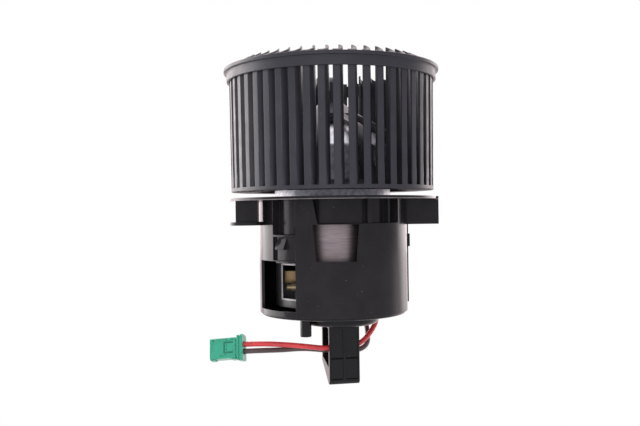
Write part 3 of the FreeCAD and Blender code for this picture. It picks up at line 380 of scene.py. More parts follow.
@dataclass(frozen=True)
class LinedMetal(Finish):
    """Metal with fine lines from drawing, turning or grinding."""

    lines: Along = Along.ROUND_THE_AXIS
    line: float = 0.011
    line_depth: float = 0.000012
    line_share: float = 0.55
    stain: Colour = (0.3, 0.27, 0.25)
    stain_share: float = 0.35

    def tint(self, sheet: NodeSheet) -> bpy.types.NodeSocket:
        """Patches, darker lines and a few stains."""
        base = Finish.tint(self, sheet)
        streaks = sheet.noise(sheet.stretched(self.lines.value), self.line, 5.0)
        share = sheet.spread(streaks, 0.35, 0.75, 0.0, self.line_share)
        lined = sheet.mix(share, base, darker(self.colour, 0.45))
        spots = sheet.noise(sheet.place, self.patch * 0.5, 4.0)
        return sheet.mix(sheet.spread(spots, 0.56, 0.72, 0.0, self.stain_share), lined, self.stain)

    def heights(self, sheet: NodeSheet) -> list[tuple[bpy.types.NodeSocket, float]]:
        """Lines over the grain."""
        streaks = sheet.noise(sheet.stretched(self.lines.value), self.line, 6.0)
        return Finish.heights(self, sheet) + [(streaks, self.line_depth)]


@dataclass(frozen=True)
class PaleTopMetal(LinedMetal):
    """Brushed sheet steel that turns duller, mottled and paler above a level; the paler colour is
    painted light for the can's top inside the wheel.
    """

    # Paler top colour: painted light for the can's top inside the wheel.
    painted_light_top: Colour = (0.72, 0.72, 0.77)
    rust: Colour = (0.27, 0.16, 0.12)
    top_roughness: float = 0.45
    level: float = -0.006
    fade: float = 0.004
    flower: float = 0.0035
    mark: float = 0.016

    def above(self, sheet: NodeSheet) -> bpy.types.NodeSocket:
        """0 below the level, and 1 from a little above it."""
        return sheet.spread(sheet.height(), self.level, self.level + self.fade)

    def tint(self, sheet: NodeSheet) -> bpy.types.NodeSocket:
        """Brushed steel below; above, a paler mottled colour that is painted light, with a few rust
        marks.
        """
        flowers = sheet.spread(sheet.noise(sheet.place, self.flower, 5.0), 0.35, 0.68)
        # The paler mottled colour above the level is painted light.
        painted_light_top = sheet.mix(flowers, darker(self.painted_light_top, 0.3), darker(self.painted_light_top, -0.18))
        marks = sheet.spread(sheet.noise(sheet.place, self.mark, 3.0), 0.62, 0.72, 0.0, 0.6)
        upper = sheet.mix(marks, painted_light_top, self.rust)
        return sheet.mix(self.above(sheet), LinedMetal.tint(self, sheet), upper)

    def dullness(self, sheet: NodeSheet) -> bpy.types.NodeSocket:
        """Duller above the level."""
        return sheet.spread(self.above(sheet), 0.0, 1.0, self.roughness, self.top_roughness)


@dataclass(frozen=True)
class Laminated(Finish):
    """Stacked sheets, seen as thin level lines."""

    sheet_pitch: float = 0.0007
    groove_depth: float = 0.00006
    unit_period: float = 0.31  # period of a Wave texture of scale 1

    def heights(self, sheet: NodeSheet) -> list[tuple[bpy.types.NodeSocket, float]]:
        """Level grooves between the sheets."""
        wave = sheet.tree.nodes.new("ShaderNodeTexWave")
        wave.bands_direction = "Z"
        wave.inputs["Scale"].default_value = self.unit_period / self.sheet_pitch
        sheet.tree.links.new(sheet.place, wave.inputs["Vector"])
        return Finish.heights(self, sheet) + [(wave.outputs["Fac"], self.groove_depth)]


WHEEL = Finish("wheel_plastic", "wheel_plastic", (0.0238, 0.0238, 0.0298), roughness=0.4, variation=0.12,
               grain=0.0011, grain_depth=0.00003, dust=0.15)
# The shell's pale line round the flange's rim is a painted highlight.
SHELL = RimHighlightMoulding("shell_plastic", "housing_plastic", (0.012, 0.0108, 0.0122), roughness=0.2,
                      variation=0.2, coat=0.15, dust=0.12, specular=0.2)
COVER = GlossMoulding("cover_plastic", "cover_plastic", (0.006, 0.0056, 0.0056), roughness=0.2,
                      variation=0.2, dust=0.12, specular=0.32)
END_COVER = Finish("end_cover_plastic", "end_plastic", (0.02, 0.0195, 0.02), roughness=0.4, dust=0.2)
# The can is paler above the level: painted light inside the wheel.
CAN = PaleTopMetal("drawn_steel", "can_steel", (0.56, 0.475, 0.47), roughness=0.40, metallic=1.0,
                  line_depth=0.00004, line_share=1.0)
SHAFT = LinedMetal("ground_steel", "shaft_steel", (0.66, 0.66, 0.67), roughness=0.24, metallic=1.0,
                   stain_share=0.1)
CORE = Laminated("core_sheets", "core_steel", (0.2, 0.19, 0.19), roughness=0.5, metallic=0.8)
SPRING = LinedMetal("spring_steel", "spring_steel", (0.36, 0.36, 0.38), roughness=0.32, metallic=1.0,
                    lines=Along.NONE, stain_share=0.2)
MAGNET = Finish("ferrite", "magnet_ferrite", (0.06, 0.06, 0.063), roughness=0.55, grain=0.0009,
                grain_depth=0.00003)
COPPER = LinedMetal("enamelled_copper", "copper", (0.62, 0.27, 0.12), roughness=0.28, metallic=1.0,
                    lines=Along.NONE, coat=0.6, stain=(0.2, 0.07, 0.03))
COMMUTATOR = LinedMetal("turned_copper", "copper", (0.66, 0.34, 0.2), roughness=0.3, metallic=1.0)
BRASS = LinedMetal("stamped_brass", "brass", (0.55, 0.39, 0.2), roughness=0.34, metallic=1.0,
                   lines=Along.UP_THE_AXIS, stain=(0.24, 0.15, 0.08))
BRONZE = LinedMetal("sintered_bronze", "bronze", (0.38, 0.25, 0.14), roughness=0.55, metallic=1.0,
                    lines=Along.NONE, grain_depth=0.00004)
WIRE = LinedMetal("varnished_wire", "varnished_wire", (0.62, 0.5, 0.3), roughness=0.32, metallic=0.8,
                  lines=Along.NONE, stain=(0.3, 0.2, 0.1))
# Painted highlight on the left window's edges: the end cover's plastic, made pale.
EDGE_HIGHLIGHT = Finish("painted_edge_highlight", "end_plastic", (0.30, 0.28, 0.29), roughness=0.3, variation=0.25)
CARBON = Finish("brush_carbon", "carbon", (0.035, 0.033, 0.033), roughness=0.5, metallic=0.3)
BOARD = Finish("insulating_board", "insulator", (0.5, 0.44, 0.33), roughness=0.75, grain=0.0006,
               grain_depth=0.00003)
CERAMIC = Finish("dipped_ceramic", "ceramic", (0.55, 0.3, 0.1), roughness=0.3, coat=0.3)
CASE = Finish("cutout_case", "cutout_case", (0.05, 0.05, 0.055), roughness=0.5)
RUBBER = Finish("black_rubber", "black_rubber", (0.016, 0.016, 0.016), roughness=0.75, grain=0.0005,
                grain_depth=0.00003)
RED = Finish("red_sheath", "red_sheath", (0.62, 0.046, 0.05), roughness=0.32, variation=0.14,
             patch=0.008, coat=0.2)
DARK = Finish("dark_sheath", "dark_sheath", (0.07, 0.0455, 0.0435), roughness=0.35, variation=0.2,
              patch=0.008, coat=0.2)
GREEN = Finish("green_moulding", "connector_green", (0.037, 0.335, 0.207), roughness=0.33,
               variation=0.07, patch=0.006, coat=0.1)
LOCK_GREEN = Finish("lock_moulding", "lock_green", (0.012, 0.17, 0.1), roughness=0.4, patch=0.004)
TIN = LinedMetal("tinned_metal", "terminal_tin", (0.62, 0.62, 0.6), roughness=0.3, metallic=1.0,
                 lines=Along.NONE)


# Mesh work

WELD = 2e-6  # metres within which corners of a CAD mesh become one
SLIVER = 1e-6  # metres below which an edge counts as no edge
COPLANAR = 0.4  # degrees within which faces become one
CREASE = 32.0  # degrees from which an edge of a CAD mesh is sharp
BEVEL_SHARP = 40.0  # degrees from which an edge stays sharp beside a bevel


def linked(name: str, data: bpy.types.ID) -> bpy.types.Object:
    """An object at the origin for a mesh, curve, light or camera, in the scene."""
    piece = bpy.data.objects.new(name, data)
    bpy.context.scene.collection.objects.link(piece)
    return piece


def from_bmesh(name: str, bm: bmesh.types.BMesh) -> bpy.types.Object:
    """Turn a bmesh into an object and free it."""
    mesh = bpy.data.meshes.new(name)
    bm.to_mesh(mesh)
    bm.free()
    return linked(name, mesh)


def smoothed(piece: bpy.types.Object, angle: float) -> bpy.types.Object:
    """Smooth shading with edges sharper than an angle kept.

    Args:
        piece: A mesh object.
        angle: Angle in degrees.

    Returns:
        The same object.
    """
    piece.data.shade_smooth()
    piece.data.set_sharp_from_angle(angle=math.radians(angle))
    return piece


def baked(piece: bpy.types.Object) -> bpy.types.Object:
    """Apply the modifiers of a piece.

    Args:
        piece: A mesh object with modifiers.

    Returns:
        The same object with a plain mesh.
    """
    graph = bpy.context.evaluated_depsgraph_get()
    mesh = bpy.data.meshes.new_from_object(piece.evaluated_get(graph))
    piece.modifiers.clear()
    piece.data = mesh
    return piece


def bevelled(piece: bpy.types.Object, width: float, segments: int = 2, angle: float = 35.0,
             below: float = 1.0) -> bpy.types.Object:
    """Round the sharp edges of a piece.

    Args:
        piece: A mesh object.
        width: Width of the bevel in metres.
        segments: Faces across it.
        angle: Edges sharper than this are rounded, in degrees.
        below: Height in metres that rounded edges stay under.

    Returns:
        The same object with a plain mesh.
    """
    bm = bmesh.new()
    bm.from_mesh(piece.data)
    share = bm.edges.layers.float.new("bevel_weight_edge")
    for edge in bm.edges:
        turn = edge.calc_face_angle(0.0)
        edge[share] = float(turn > math.radians(angle) and min(v.co.z for v in edge.verts) < below)
    bm.to_mesh(piece.data)
    bm.free()
    modifier = piece.modifiers.new("edges", "BEVEL")
    modifier.width = width
    modifier.segments = segments
    modifier.limit_method = "WEIGHT"
    modifier.use_clamp_overlap = False
    modifier.miter_outer = "MITER_ARC"
    return weighted(smoothed(baked(piece), BEVEL_SHARP))


def weighted(piece: bpy.types.Object) -> bpy.types.Object:
    """Shade large faces flat to their edges, so that only the rounded edges turn.

    Args:
        piece: A smooth mesh object.

    Returns:
        The same object with its normals kept in the mesh.
    """
    modifier = piece.modifiers.new("normals", "WEIGHTED_NORMAL")
    modifier.mode = "FACE_AREA"
    modifier.weight = 100
    modifier.keep_sharp = True
    return baked(piece)


def lathed(name: str, outline: Outline, segments: int) -> bpy.types.Object:
    """Turn a closed (r, z) outline about the motor's axis.

    Args:
        name: Name of the object.
        outline: Corners in millimetres.
        segments: Steps of a full turn.

    Returns:
        A closed ring-like mesh.
    """
    corners = [(r * MM, z * MM) for r, z in outline]
    bm = bmesh.new()
    rings = []
    for step in range(segments):
        angle = 2.0 * math.pi * step / segments
        rings.append([bm.verts.new((r * math.cos(angle), r * math.sin(angle), z)) for r, z in corners])
    for step in range(segments):
        here, there = rings[step], rings[(step + 1) % segments]
        for i in range(len(corners)):
            j = (i + 1) % len(corners)
            bm.faces.new((here[i], there[i], there[j], here[j]))
    bmesh.ops.recalc_face_normals(bm, faces=bm.faces)
    return from_bmesh(name, bm)


def refined(node: str, width: float, merged: bool = True, below: float = 1.0) -> bpy.types.Object:
    """Welded, bevelled and smooth copy of a CAD node.

    Args:
        node: Name of the node.
        width: Width of the bevel in metres, or 0 for none.
        merged: Whether flat neighbours become one face. A face with fine steps in it is torn by that.
        below: Height in metres that rounded edges stay under.

    Returns:
        The copy, which replaces the node.
    """
    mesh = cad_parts[node].data.copy()
    mesh.name = node + "_finished"
    bm = bmesh.new()
    bm.from_mesh(mesh)
    bmesh.ops.remove_doubles(bm, verts=bm.verts, dist=WELD)
    bmesh.ops.dissolve_degenerate(bm, dist=SLIVER, edges=bm.edges)
    if merged:
        bmesh.ops.dissolve_limit(bm, angle_limit=math.radians(COPLANAR), verts=bm.verts, edges=bm.edges)
    bm.to_mesh(mesh)
    bm.free()
    piece = linked(node + "_finished", mesh)
    if width > 0.0:
        bevelled(piece, width, angle=CREASE, below=below)
    else:
        smoothed(piece, CREASE)
    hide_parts(node)
    return piece


def clad(piece: bpy.types.Object, finish: Finish) -> None:
    """Make a finish the only material of a piece."""
    piece.data.materials.clear()
    piece.data.materials.append(finish.material())


def finished(piece: bpy.types.Object, finish: Finish, body: Body) -> bpy.types.Object:
    """Give a piece its finish and let it ride on its body.

    Args:
        piece: The piece.
        finish: Its finish.
        body: The body that carries it.

    Returns:
        The same piece.
    """
    clad(piece, finish)
    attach(piece, body.value)
    log.info("%s: %s on %s", piece.name, finish.name, body.value)
    return piece


class AroundTheAxis:
    """Geometry Nodes tree that repeats a piece evenly about the motor's axis."""

    def __init__(self) -> None:
        """Build the tree with its named inputs."""
        self.tree = bpy.data.node_groups.new("around_the_axis", "GeometryNodeTree")
        face = self.tree.interface
        self.inputs = {
            "Count": face.new_socket("Count", in_out="INPUT", socket_type="NodeSocketInt"),
            "Start": face.new_socket("Start", in_out="INPUT", socket_type="NodeSocketFloat"),
            "Piece": face.new_socket("Piece", in_out="INPUT", socket_type="NodeSocketObject"),
            "Finish": face.new_socket("Finish", in_out="INPUT", socket_type="NodeSocketMaterial"),
        }
        face.new_socket("Geometry", in_out="OUTPUT", socket_type="NodeSocketGeometry")
        nodes, links, maths = self.tree.nodes, self.tree.links, Nodes(self.tree).maths
        given = nodes.new("NodeGroupInput")
        points = nodes.new("GeometryNodePoints")
        index = nodes.new("GeometryNodeInputIndex")
        pitch = maths("DIVIDE", 2.0 * math.pi, given.outputs["Count"])
        angle = maths("MULTIPLY_ADD", index.outputs[0], pitch, given.outputs["Start"])
        turn = nodes.new("ShaderNodeCombineXYZ")
        info = nodes.new("GeometryNodeObjectInfo")
        instances = nodes.new("GeometryNodeInstanceOnPoints")
        real = nodes.new("GeometryNodeRealizeInstances")
        dress = nodes.new("GeometryNodeSetMaterial")
        result = nodes.new("NodeGroupOutput")
        links.new(given.outputs["Count"], points.inputs["Count"])
        links.new(angle, turn.inputs["Z"])
        links.new(given.outputs["Piece"], info.inputs["Object"])
        links.new(points.outputs[0], instances.inputs["Points"])
        links.new(info.outputs["Geometry"], instances.inputs["Instance"])
        links.new(turn.outputs[0], instances.inputs["Rotation"])
        links.new(instances.outputs[0], real.inputs[0])
        links.new(real.outputs[0], dress.inputs["Geometry"])
        links.new(given.outputs["Finish"], dress.inputs["Material"])
        links.new(dress.outputs[0], result.inputs[0])

    def repeat(self, name: str, piece: bpy.types.Object, count: int, start: float,
               finish: Finish) -> bpy.types.Object:
        """Repeat a piece and drop the original.

        Args:
            name: Name of the result.
            piece: The piece at angle 0.
            count: Number of copies.
            start: Angle of the first copy in degrees, anticlockwise from above.
            finish: Finish of the copies.

        Returns:
            One plain mesh object.
        """
        carrier = linked(name, bpy.data.meshes.new(name))
        modifier = carrier.modifiers.new("pattern", "NODES")
        modifier.node_group = self.tree
        values = {"Count": count, "Start": math.radians(start), "Piece": piece,
                  "Finish": finish.material()}
        for key, value in values.items():
            modifier[self.inputs[key].identifier] = value
        carrier.data.update()
        bpy.context.view_layer.update()
        baked(carrier)
        bpy.data.objects.remove(piece)
        return carrier


# Sub-assemblies


@dataclass
class FanWheel:
    """Squirrel-cage wheel: blades, band with its lip, bottom ring and hub.

    Sizes are in millimetres and angles in degrees. The corners of a blade's section are x, distance
    to the front and corner radius.
    """

    pattern: AroundTheAxis
    blade_count: int = 47
    first_azimuth: float = 1.9
    tip_r: float = 71.3
    foot_tip_r: float = 70.5
    root_r: float = 60.0
    peak_r: float = 61.0
    low_z: float = 7.65
    tip_top_z: float = 92.0
    peak_z: float = 97.0
    fin_dip: float = 0.1
    height_steps: int = 7
    blade_rounding: float = 0.3
    outer: Section = ((-2.2, 71.8, 0.0), (2.0, 71.8, 1.3), (5.3, 66.0, 8.0), (3.3, 59.5, 0.0))
    inner: Section = ((-2.2, 69.6, 0.0), (0.7, 69.6, 0.7), (3.8, 66.0, 6.5), (1.8, 59.5, 0.0))
    corner_steps: int = 5
    band_outline: Outline = (
        (70.8, 82.3), (73.0, 82.3), (73.0, 88.6), (75.0, 88.6), (75.0, 91.1), (70.8, 91.1))
    band_steps: int = 192
    band_rounding: float = 0.6
    hub_outline: Outline = (
        (70.6, 6.3), (52.8, 6.3), (44.8, 24.0), (44.8, 34.0), (37.4, 46.7), (18.0, 57.9), (7.0, 65.1),
        (4.01, 65.1), (4.01, 82.0), (9.0, 82.0), (9.0, 67.6), (19.2, 60.1), (38.8, 48.8), (47.2, 34.9),
        (47.2, 24.5), (56.0, 9.0), (70.6, 9.0))
    hub_steps: int = 144
    hub_rounding: float = 0.5
    window_count: int = 8
    window_radii: tuple[float, float] = (21.0, 54.0)
    window_halves: tuple[float, float] = (13.8, 17.8)
    window_skew: float = 8.0
    window_levels: tuple[float, float] = (11.0, 75.0)
    window_steps: int = 5

    def side(self, corners: Section) -> list[Vector]:
        """One side of a blade's section, from the rim to the root.

        Args:
            corners: Points (x, distance to the front, corner radius).

        Returns:
            Points with x to the right and y to the front.
        """
        places = [Vector((x, y)) for x, y, _ in corners]
        line = [places[0]]
        for before, here, after, (_, _, radius) in zip(places, places[1:], places[2:], corners[1:]):
            back, ahead = (before - here).normalized(), (after - here).normalized()
            half_turn = (math.pi - back.angle(ahead)) / 2.0
            trim = radius * math.tan(half_turn)
            middle = here + (back + ahead).normalized() * (radius / math.cos(half_turn))
            first = here + back * trim - middle
            last = here + ahead * trim - middle
            for i in range(self.corner_steps + 1):
                line.append(middle + first.slerp(last, i / self.corner_steps).normalized() * radius)
        return line + [places[-1]]

    def top_z(self, r: float) -> float:
        """Height of a blade's slightly hollow top at a radius."""
        t = (self.tip_r - r) / (self.tip_r - self.peak_r)
        return self.tip_top_z + (self.peak_z - self.tip_top_z) * t - 4.0 * self.fin_dip * t * (1.0 - t)

    def placed(self, point: Vector, v: float) -> Point:
        """A section point at a share of a blade's height, kept between root and tip."""
        top = self.top_z(min(self.tip_r, max(self.peak_r, point.length)))
        z = self.low_z + (top - self.low_z) * v
        rise = (z - self.low_z) / (self.tip_top_z - self.low_z)
        tip = self.foot_tip_r + (self.tip_r - self.foot_tip_r) * min(1.0, rise)
        root = self.root_r + (self.peak_r - self.root_r) * min(1.0, rise)
        r = min(tip, max(root, point.length))
        flat = point.normalized() * r
        return (flat.x * MM, -flat.y * MM, z * MM)

    def blade(self) -> bpy.types.Object:
        """One blade: a strip along the rim that turns into a belly and the root."""
        bm = bmesh.new()
        levels = [i / self.height_steps for i in range(self.height_steps + 1)]
        sheets = [[[bm.verts.new(self.placed(point, v)) for v in levels] for point in self.side(corners)]
                  for corners in (self.outer, self.inner)]
        outer, inner = sheets
        last = len(outer) - 1
        for i in range(last):
            for j in range(self.height_steps):
                bm.faces.new((outer[i][j], outer[i + 1][j], outer[i + 1][j + 1], outer[i][j + 1]))
                bm.faces.new((inner[i][j], inner[i][j + 1], inner[i + 1][j + 1], inner[i + 1][j]))
            for j in (0, self.height_steps):
                bm.faces.new((outer[i][j], inner[i][j], inner[i + 1][j], outer[i + 1][j]))
        for i in (0, last):
            for j in range(self.height_steps):
                bm.faces.new((outer[i][j], outer[i][j + 1], inner[i][j + 1], inner[i][j]))
        bmesh.ops.recalc_face_normals(bm, faces=bm.faces)
        return bevelled(from_bmesh("blade", bm), self.blade_rounding * MM, angle=50.0)

    def build(self) -> None:
        """Make the wheel over its CAD node."""
        blades = self.pattern.repeat("wheel_blades", self.blade(), self.blade_count, self.first_azimuth,
                                     WHEEL)
        finished(smoothed(blades, BEVEL_SHARP), WHEEL, Body.ROTOR)
        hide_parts("fan_wheel")
        band = lathed("wheel_band", self.band_outline, self.band_steps)
        finished(bevelled(band, self.band_rounding * MM, segments=3), WHEEL, Body.ROTOR)
        self.hub()
        log.info("wheel: %d blades", self.blade_count)

    def hub(self) -> None:
        """Bottom ring and domed hub, cut by its skewed windows."""
        dome = lathed("wheel_hub", self.hub_outline, self.hub_steps)
        bevelled(dome, self.hub_rounding * MM, angle=30.0)
        cutter = self.pattern.repeat("hub_windows", self.window(), self.window_count, 0.0, WHEEL)
        cut = dome.modifiers.new("windows", "BOOLEAN")
        cut.operation = "DIFFERENCE"
        cut.solver = "EXACT"
        cut.object = cutter
        baked(dome)
        bpy.data.objects.remove(cutter)
        finished(smoothed(dome, angle=35.0), WHEEL, Body.ROTOR)

    def window(self) -> bpy.types.Object:
        """Cutter of one hub window: two arcs about the axis, turned apart by the skew."""
        corners = []
        for radius, half, order in zip(self.window_radii, self.window_halves, (1, -1)):
            for i in range(self.window_steps + 1):
                azimuth = order * half * (2.0 * i / self.window_steps - 1.0) - order * self.window_skew
                a = math.radians(azimuth)
                corners.append((radius * math.sin(a) * MM, -radius * math.cos(a) * MM))
        bm = bmesh.new()
        rows = [[bm.verts.new((x, y, z * MM)) for x, y in corners] for z in self.window_levels]
        bm.faces.new(reversed(rows[0]))
        bm.faces.new(rows[1])
        for i in range(len(corners)):
            j = (i + 1) % len(corners)
            bm.faces.new((rows[0][i], rows[0][j], rows[1][j], rows[1][i]))
        bmesh.ops.recalc_face_normals(bm, faces=bm.faces)
        return from_bmesh("hub_window", bm)


@dataclass
class Leads:
    """The two free leads and their connector. Sizes in millimetres."""

    diameter: float = 3.7
    red_length: float = 122.3
    dark_length: float = 123.5
    red_route: list[Point] = field(default_factory=lambda: [
        (32.0, 27.1, -80.9),
        (32.0, 27.1, -88.0),
        (27.4, 18.6, -95.0),
        (20.0, 9.0, -101.4),
        (10.4, 2.2, -104.3),
        (-6.0, -0.6, -104.0),
        (-22.5, -1.7, -101.8),
        (-38.0, -1.8, -100.4),
        (-53.0, -2.0, -99.7),
        (-67.3, 0.0, -100.4),
    ])
    dark_route: list[Point] = field(default_factory=lambda: [
        (23.6, 28.9, -80.9),
        (23.6, 28.9, -87.2),
        (24.9, 25.2, -96.4),
        (24.6, 17.0, -103.6),
        (18.6, 9.8, -106.9),
        (8.6, 6.0, -107.2),
        (-6.5, 3.7, -105.8),
        (-22.0, 2.5, -104.0),
        (-37.0, 0.2, -104.7),
        (-52.5, -3.2, -104.3),
        (-67.1, -1.7, -105.1),
    ])

    def lead(self, name: str, node: str, route: list[Point], finish: Finish) -> bpy.types.Object:
        """One lead as a smooth round curve.

        Args:
            name: Name of the piece.
            node: CAD node that it stands for.
            route: Control points in millimetres.
            finish: Its finish.

        Returns:
            The lead.
        """
        curve = bpy.data.curves.new(name, "CURVE")
        curve.dimensions = "3D"
        spline = curve.splines.new("NURBS")
        spline.points.add(len(route) - 1)
        for knot, place in zip(spline.points, route):
            knot.co = (*(c * MM for c in place), 1.0)
        spline.order_u = 3
        spline.use_endpoint_u = True
        spline.resolution_u = 14
        spline.use_smooth = True
        curve.bevel_depth = self.diameter / 2 * MM
        curve.bevel_resolution = 7
        curve.use_fill_caps = True
        piece = finished(linked(name, curve), finish, Body.ROOT)
        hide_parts(node)
        return piece

    def build(self) -> None:
        """Make both leads and the connector."""
        shell = finished(refined("connector_housing", 0.12 * MM, merged=False), GREEN, Body.ROOT)
        lock = finished(refined("connector_lock", 0.1 * MM), LOCK_GREEN, Body.ROOT)
        pins = finished(refined("connector_terminals", 0.08 * MM), TIN, Body.ROOT)
        red = self.lead("lead_red", "red_lead", self.red_route, RED)
        dark = self.lead("lead_dark", "dark_lead", self.dark_route, DARK)


@dataclass
class MotorBody:
    """Pieces of the motor and housing whose CAD shape is kept and finished.

    Sizes are in millimetres and azimuths in degrees. Each dressed piece has the width of its rounded
    edges, and plain pieces keep the CAD mesh itself. The frame is a painted highlight along the edges of
    the left window.
    """

    dressed: list[tuple[str, float, Finish, Body]] = field(default_factory=lambda: [
        ("motor_can", 0.0, CAN, Body.ROOT),
        ("end_cover", 0.2, END_COVER, Body.ROOT),
        ("lead_grommet", 0.2, RUBBER, Body.ROOT),
        ("isolator_upper", 0.2, RUBBER, Body.ROOT),
        ("brush_holder_left", 0.15, BRASS, Body.ROOT),
        ("brush_holder_right", 0.15, BRASS, Body.ROOT),
        ("thermal_cutout", 0.2, CASE, Body.ROOT),
        ("suppression_capacitor", 0.6, CERAMIC, Body.ROOT),
        ("motor_shaft", 0.1, SHAFT, Body.ROTOR),
        ("wheel_clip", 0.12, SPRING, Body.ROTOR),
        ("commutator", 0.1, COMMUTATOR, Body.ROTOR),
    ])
    plain: dict[str, Finish] = field(default_factory=lambda: {
        "armature_core": CORE,
        "slot_insulators": BOARD,
        "armature_windings": COPPER,
        "upper_thrust_washer": SPRING,
        "lower_thrust_washer": SPRING,
        "upper_bearing": BRONZE,
        "lower_bearing": BRONZE,
        "upper_bearing_retainer": SPRING,
        "lower_bearing_retainer": SPRING,
        "magnet_left": MAGNET,
        "magnet_right": MAGNET,
        "magnet_springs": SPRING,
        "brush_left": CARBON,
        "brush_right": CARBON,
        "choke_left": WIRE,
        "choke_right": WIRE,
        "end_cover_screws": SHAFT,
        "isolator_lower": RUBBER,
    })
    frame_azimuths: tuple[float, float] = (-61.9, -14.1)
    frame_levels: tuple[float, float] = (-67.1, -42.2)
    frame_radii: tuple[float, float] = (40.3, 40.55)
    frame_post: float = 2.6
    frame_sill: float = 1.1
    frame_lintel: float = 1.3
    frame_rounding: float = 0.08
    frame_steps: int = 10
    shell_rounding: float = 0.2
    flange_underside: float = -2.5
    cap_rounding: float = 0.4
    cap_underside: float = -78.7
    spring_foot: float = 33.4
    spring_length: float = 9.75
    brush_travel: float = 3.0

    def build(self) -> None:
        """Finish each piece."""
        self.paint_window_highlight()
        self.brush_springs()
        for node, width, below, finish in (
                ("blower_housing", self.shell_rounding, self.flange_underside, SHELL),
                ("bottom_cover", self.cap_rounding, self.cap_underside, COVER)):
            finished(refined(node, width * MM, below=below * MM), finish, Body.ROOT)
        for node, width, finish, body in self.dressed:
            finished(refined(node, width * MM), finish, body)
        for node, finish in self.plain.items():
            clad(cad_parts[node], finish)
            log.info("%s: %s", node, finish.name)

    def brush_springs(self) -> None:
        """Coil springs, finished from their CAD nodes, each with a mesh of its own."""
        for side, way in (("left", -1.0), ("right", 1.0)):
            coil = finished(refined("brush_spring_" + side, 0.0), SPRING, Body.ROOT)
            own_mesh(coil)

    def paint_window_highlight(self) -> None:
        """Painted highlight round the left window's edges: a pale post, a sill and a lintel, bent round
        the axis.
        """
        bm = bmesh.new()
        start, end = self.frame_azimuths
        inner = start + self.frame_post
        foot, head = self.frame_levels
        for azimuths, levels in (((start, inner), (foot, head)),
                                 ((inner, end), (foot, foot + self.frame_sill)),
                                 ((inner, end), (head - self.frame_lintel, head))):
            rows = []
            for i in range(self.frame_steps + 1):
                a = math.radians(azimuths[0] + (azimuths[1] - azimuths[0]) * i / self.frame_steps)
                rows.append([bm.verts.new((r * math.sin(a) * MM, -r * math.cos(a) * MM, z * MM))
                             for r in self.frame_radii for z in levels])
            for here, there in zip(rows, rows[1:]):
                for i, j in ((0, 1), (1, 3), (3, 2), (2, 0)):
                    bm.faces.new((here[i], here[j], there[j], there[i]))
            bm.faces.new((rows[0][0], rows[0][2], rows[0][3], rows[0][1]))
            bm.faces.new((rows[-1][0], rows[-1][1], rows[-1][3], rows[-1][2]))
        bmesh.ops.recalc_face_normals(bm, faces=bm.faces)
        # The pale strips are a painted highlight on the window's edges.
        edge = bevelled(from_bmesh("motor_window_edge", bm), self.frame_rounding * MM, angle=50.0)
        finished(edge, EDGE_HIGHLIGHT, Body.ROOT)


@dataclass(frozen=True)
class SoftBox:
    """One rectangular soft light that faces the origin.

    Sizes are in metres and the power is in watts. Glossy faces show it only if it is mirrored.
    """

    name: str
    place: Point
    size: tuple[float, float]
    power: float
    mirrored: bool = True

    def build(self) -> None:
        """Put the light in the scene."""
        data = bpy.data.lights.new(self.name, "AREA")
        data.shape = "RECTANGLE"
        data.size, data.size_y = self.size
        data.energy = self.power
        light = linked(self.name, data)
        aim = (Vector((0.0, 0.0, 0.0)) - Vector(self.place)).to_track_quat("-Z", "Y")
        light.matrix_world = Matrix.Translation(self.place) @ aim.to_matrix().to_4x4()
        light.visible_glossy = self.mirrored


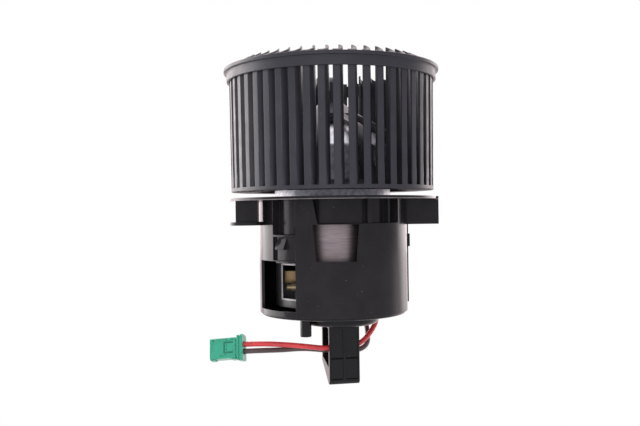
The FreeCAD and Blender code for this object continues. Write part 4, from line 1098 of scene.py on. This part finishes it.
@dataclass
class Studio:
    """Camera, soft lights, surroundings and floor.

    Sizes are in metres and angles in degrees. World and floor turn from the front's light to the
    back's between the two ends of their rise, along Y and a share of -X.
    """

    lens: float = 45.0
    sensor: float = 36.0
    roll: float = -0.8
    place: Point = (-0.0089, -0.563, -0.0087)
    boxes: tuple[SoftBox, ...] = (
        SoftBox("left_box", (-0.75, 0.25, 0.15), (0.9, 0.9), 6.0),
        SoftBox("right_box", (0.62, 0.55, 0.2), (0.3, 0.8), 0.7),
        SoftBox("top_box", (0.0, 0.0, 0.9), (0.6, 0.6), 1.2),
        SoftBox("front_box", (-0.12, -0.8, 0.05), (0.5, 0.5), 4.0, mirrored=False),
    )
    left_share: float = 0.16
    front: Colour = (0.97, 0.95, 1.04)
    back: Colour = (1.10, 0.965, 0.98)
    world_rise: tuple[float, float] = (0.22, 0.42)
    world_levels: tuple[float, float] = (0.5, 2.3)
    floor_rise: tuple[float, float] = (-0.1, 0.4)
    floor_levels: tuple[float, float] = (0.75, 1.3)
    floor_half: float = 6.0
    floor_z: float = -0.36

    def build(self) -> None:
        """Set the camera, the world, the lights and the floor."""
        self.camera()
        self.world()
        for box in self.boxes:
            box.build()
        self.floor()

    def camera(self) -> None:
        """Camera at the photograph's viewing angle."""
        data = bpy.data.cameras.new("camera")
        data.lens = self.lens
        data.sensor_width = self.sensor
        data.clip_start = 0.01
        data.clip_end = 20.0
        camera = linked("camera", data)
        level = Matrix.Rotation(math.radians(90.0), 4, "X")
        rolled = level @ Matrix.Rotation(math.radians(self.roll), 4, "Z")
        camera.matrix_world = Matrix.Translation(self.place) @ rolled
        bpy.context.scene.camera = camera
        bpy.context.scene.view_settings.view_transform = "Standard"

    def surroundings(self, tree: bpy.types.NodeTree, source: str, rise: tuple[float, float],
                     levels: tuple[float, float]) -> bpy.types.NodeSocket:
        """Light that turns brighter and warmer to the back, and is white where the camera looks at it.

        Args:
            tree: Node tree to add to.
            source: Output of the coordinates node to read.
            rise: Where the light starts to grow and where it is full.
            levels: Brightness in front and at the back.

        Returns:
            The light's colour.
        """
        nodes = Nodes(tree)
        split = tree.nodes.new("ShaderNodeSeparateXYZ")
        nodes.give(split, 0, tree.nodes.new("ShaderNodeTexCoord").outputs[source])
        way = nodes.maths("MULTIPLY_ADD", split.outputs["X"], -self.left_share, split.outputs["Y"])
        front, back = scaled(self.front, levels[0]), scaled(self.back, levels[1])
        light = nodes.mix(nodes.spread(way, *rise), front, back)
        seen = tree.nodes.new("ShaderNodeLightPath").outputs["Is Camera Ray"]
        return nodes.mix(seen, light, (1.0, 1.0, 1.0))

    def world(self) -> None:
        """Pale surroundings, dimmer in front."""
        world = bpy.data.worlds.new("studio")
        bpy.context.scene.world = world
        world.use_nodes = True
        tree = world.node_tree
        light = self.surroundings(tree, "Generated", self.world_rise, self.world_levels)
        tree.links.new(light, tree.nodes["Background"].inputs["Color"])

    def pale(self) -> bpy.types.Material:
        """Glow of the floor, which grows to the back as that of the surroundings does."""
        pale = bpy.data.materials.new("pale_floor")
        pale.use_nodes = True
        tree = pale.node_tree
        glow = tree.nodes.new("ShaderNodeEmission")
        light = self.surroundings(tree, "Object", self.floor_rise, self.floor_levels)
        tree.links.new(light, glow.inputs["Color"])
        tree.links.new(glow.outputs[0], tree.nodes["Material Output"].inputs["Surface"])
        return pale

    def floor(self) -> None:
        """Pale floor below the object."""
        bm = bmesh.new()
        bmesh.ops.create_grid(bm, x_segments=4, y_segments=4, size=self.floor_half)
        bmesh.ops.translate(bm, verts=bm.verts, vec=(0.0, 0.0, self.floor_z))
        floor = from_bmesh("floor", bm)
        floor.data.materials.append(self.pale())


def main() -> None:
    """Build the object and its studio."""
    logging.basicConfig(level=logging.INFO, format="%(name)s: %(message)s")
    Studio().build()
    Leads().build()
    FanWheel(AroundTheAxis()).build()
    MotorBody().build()


if __name__ == "__main__":
    main()
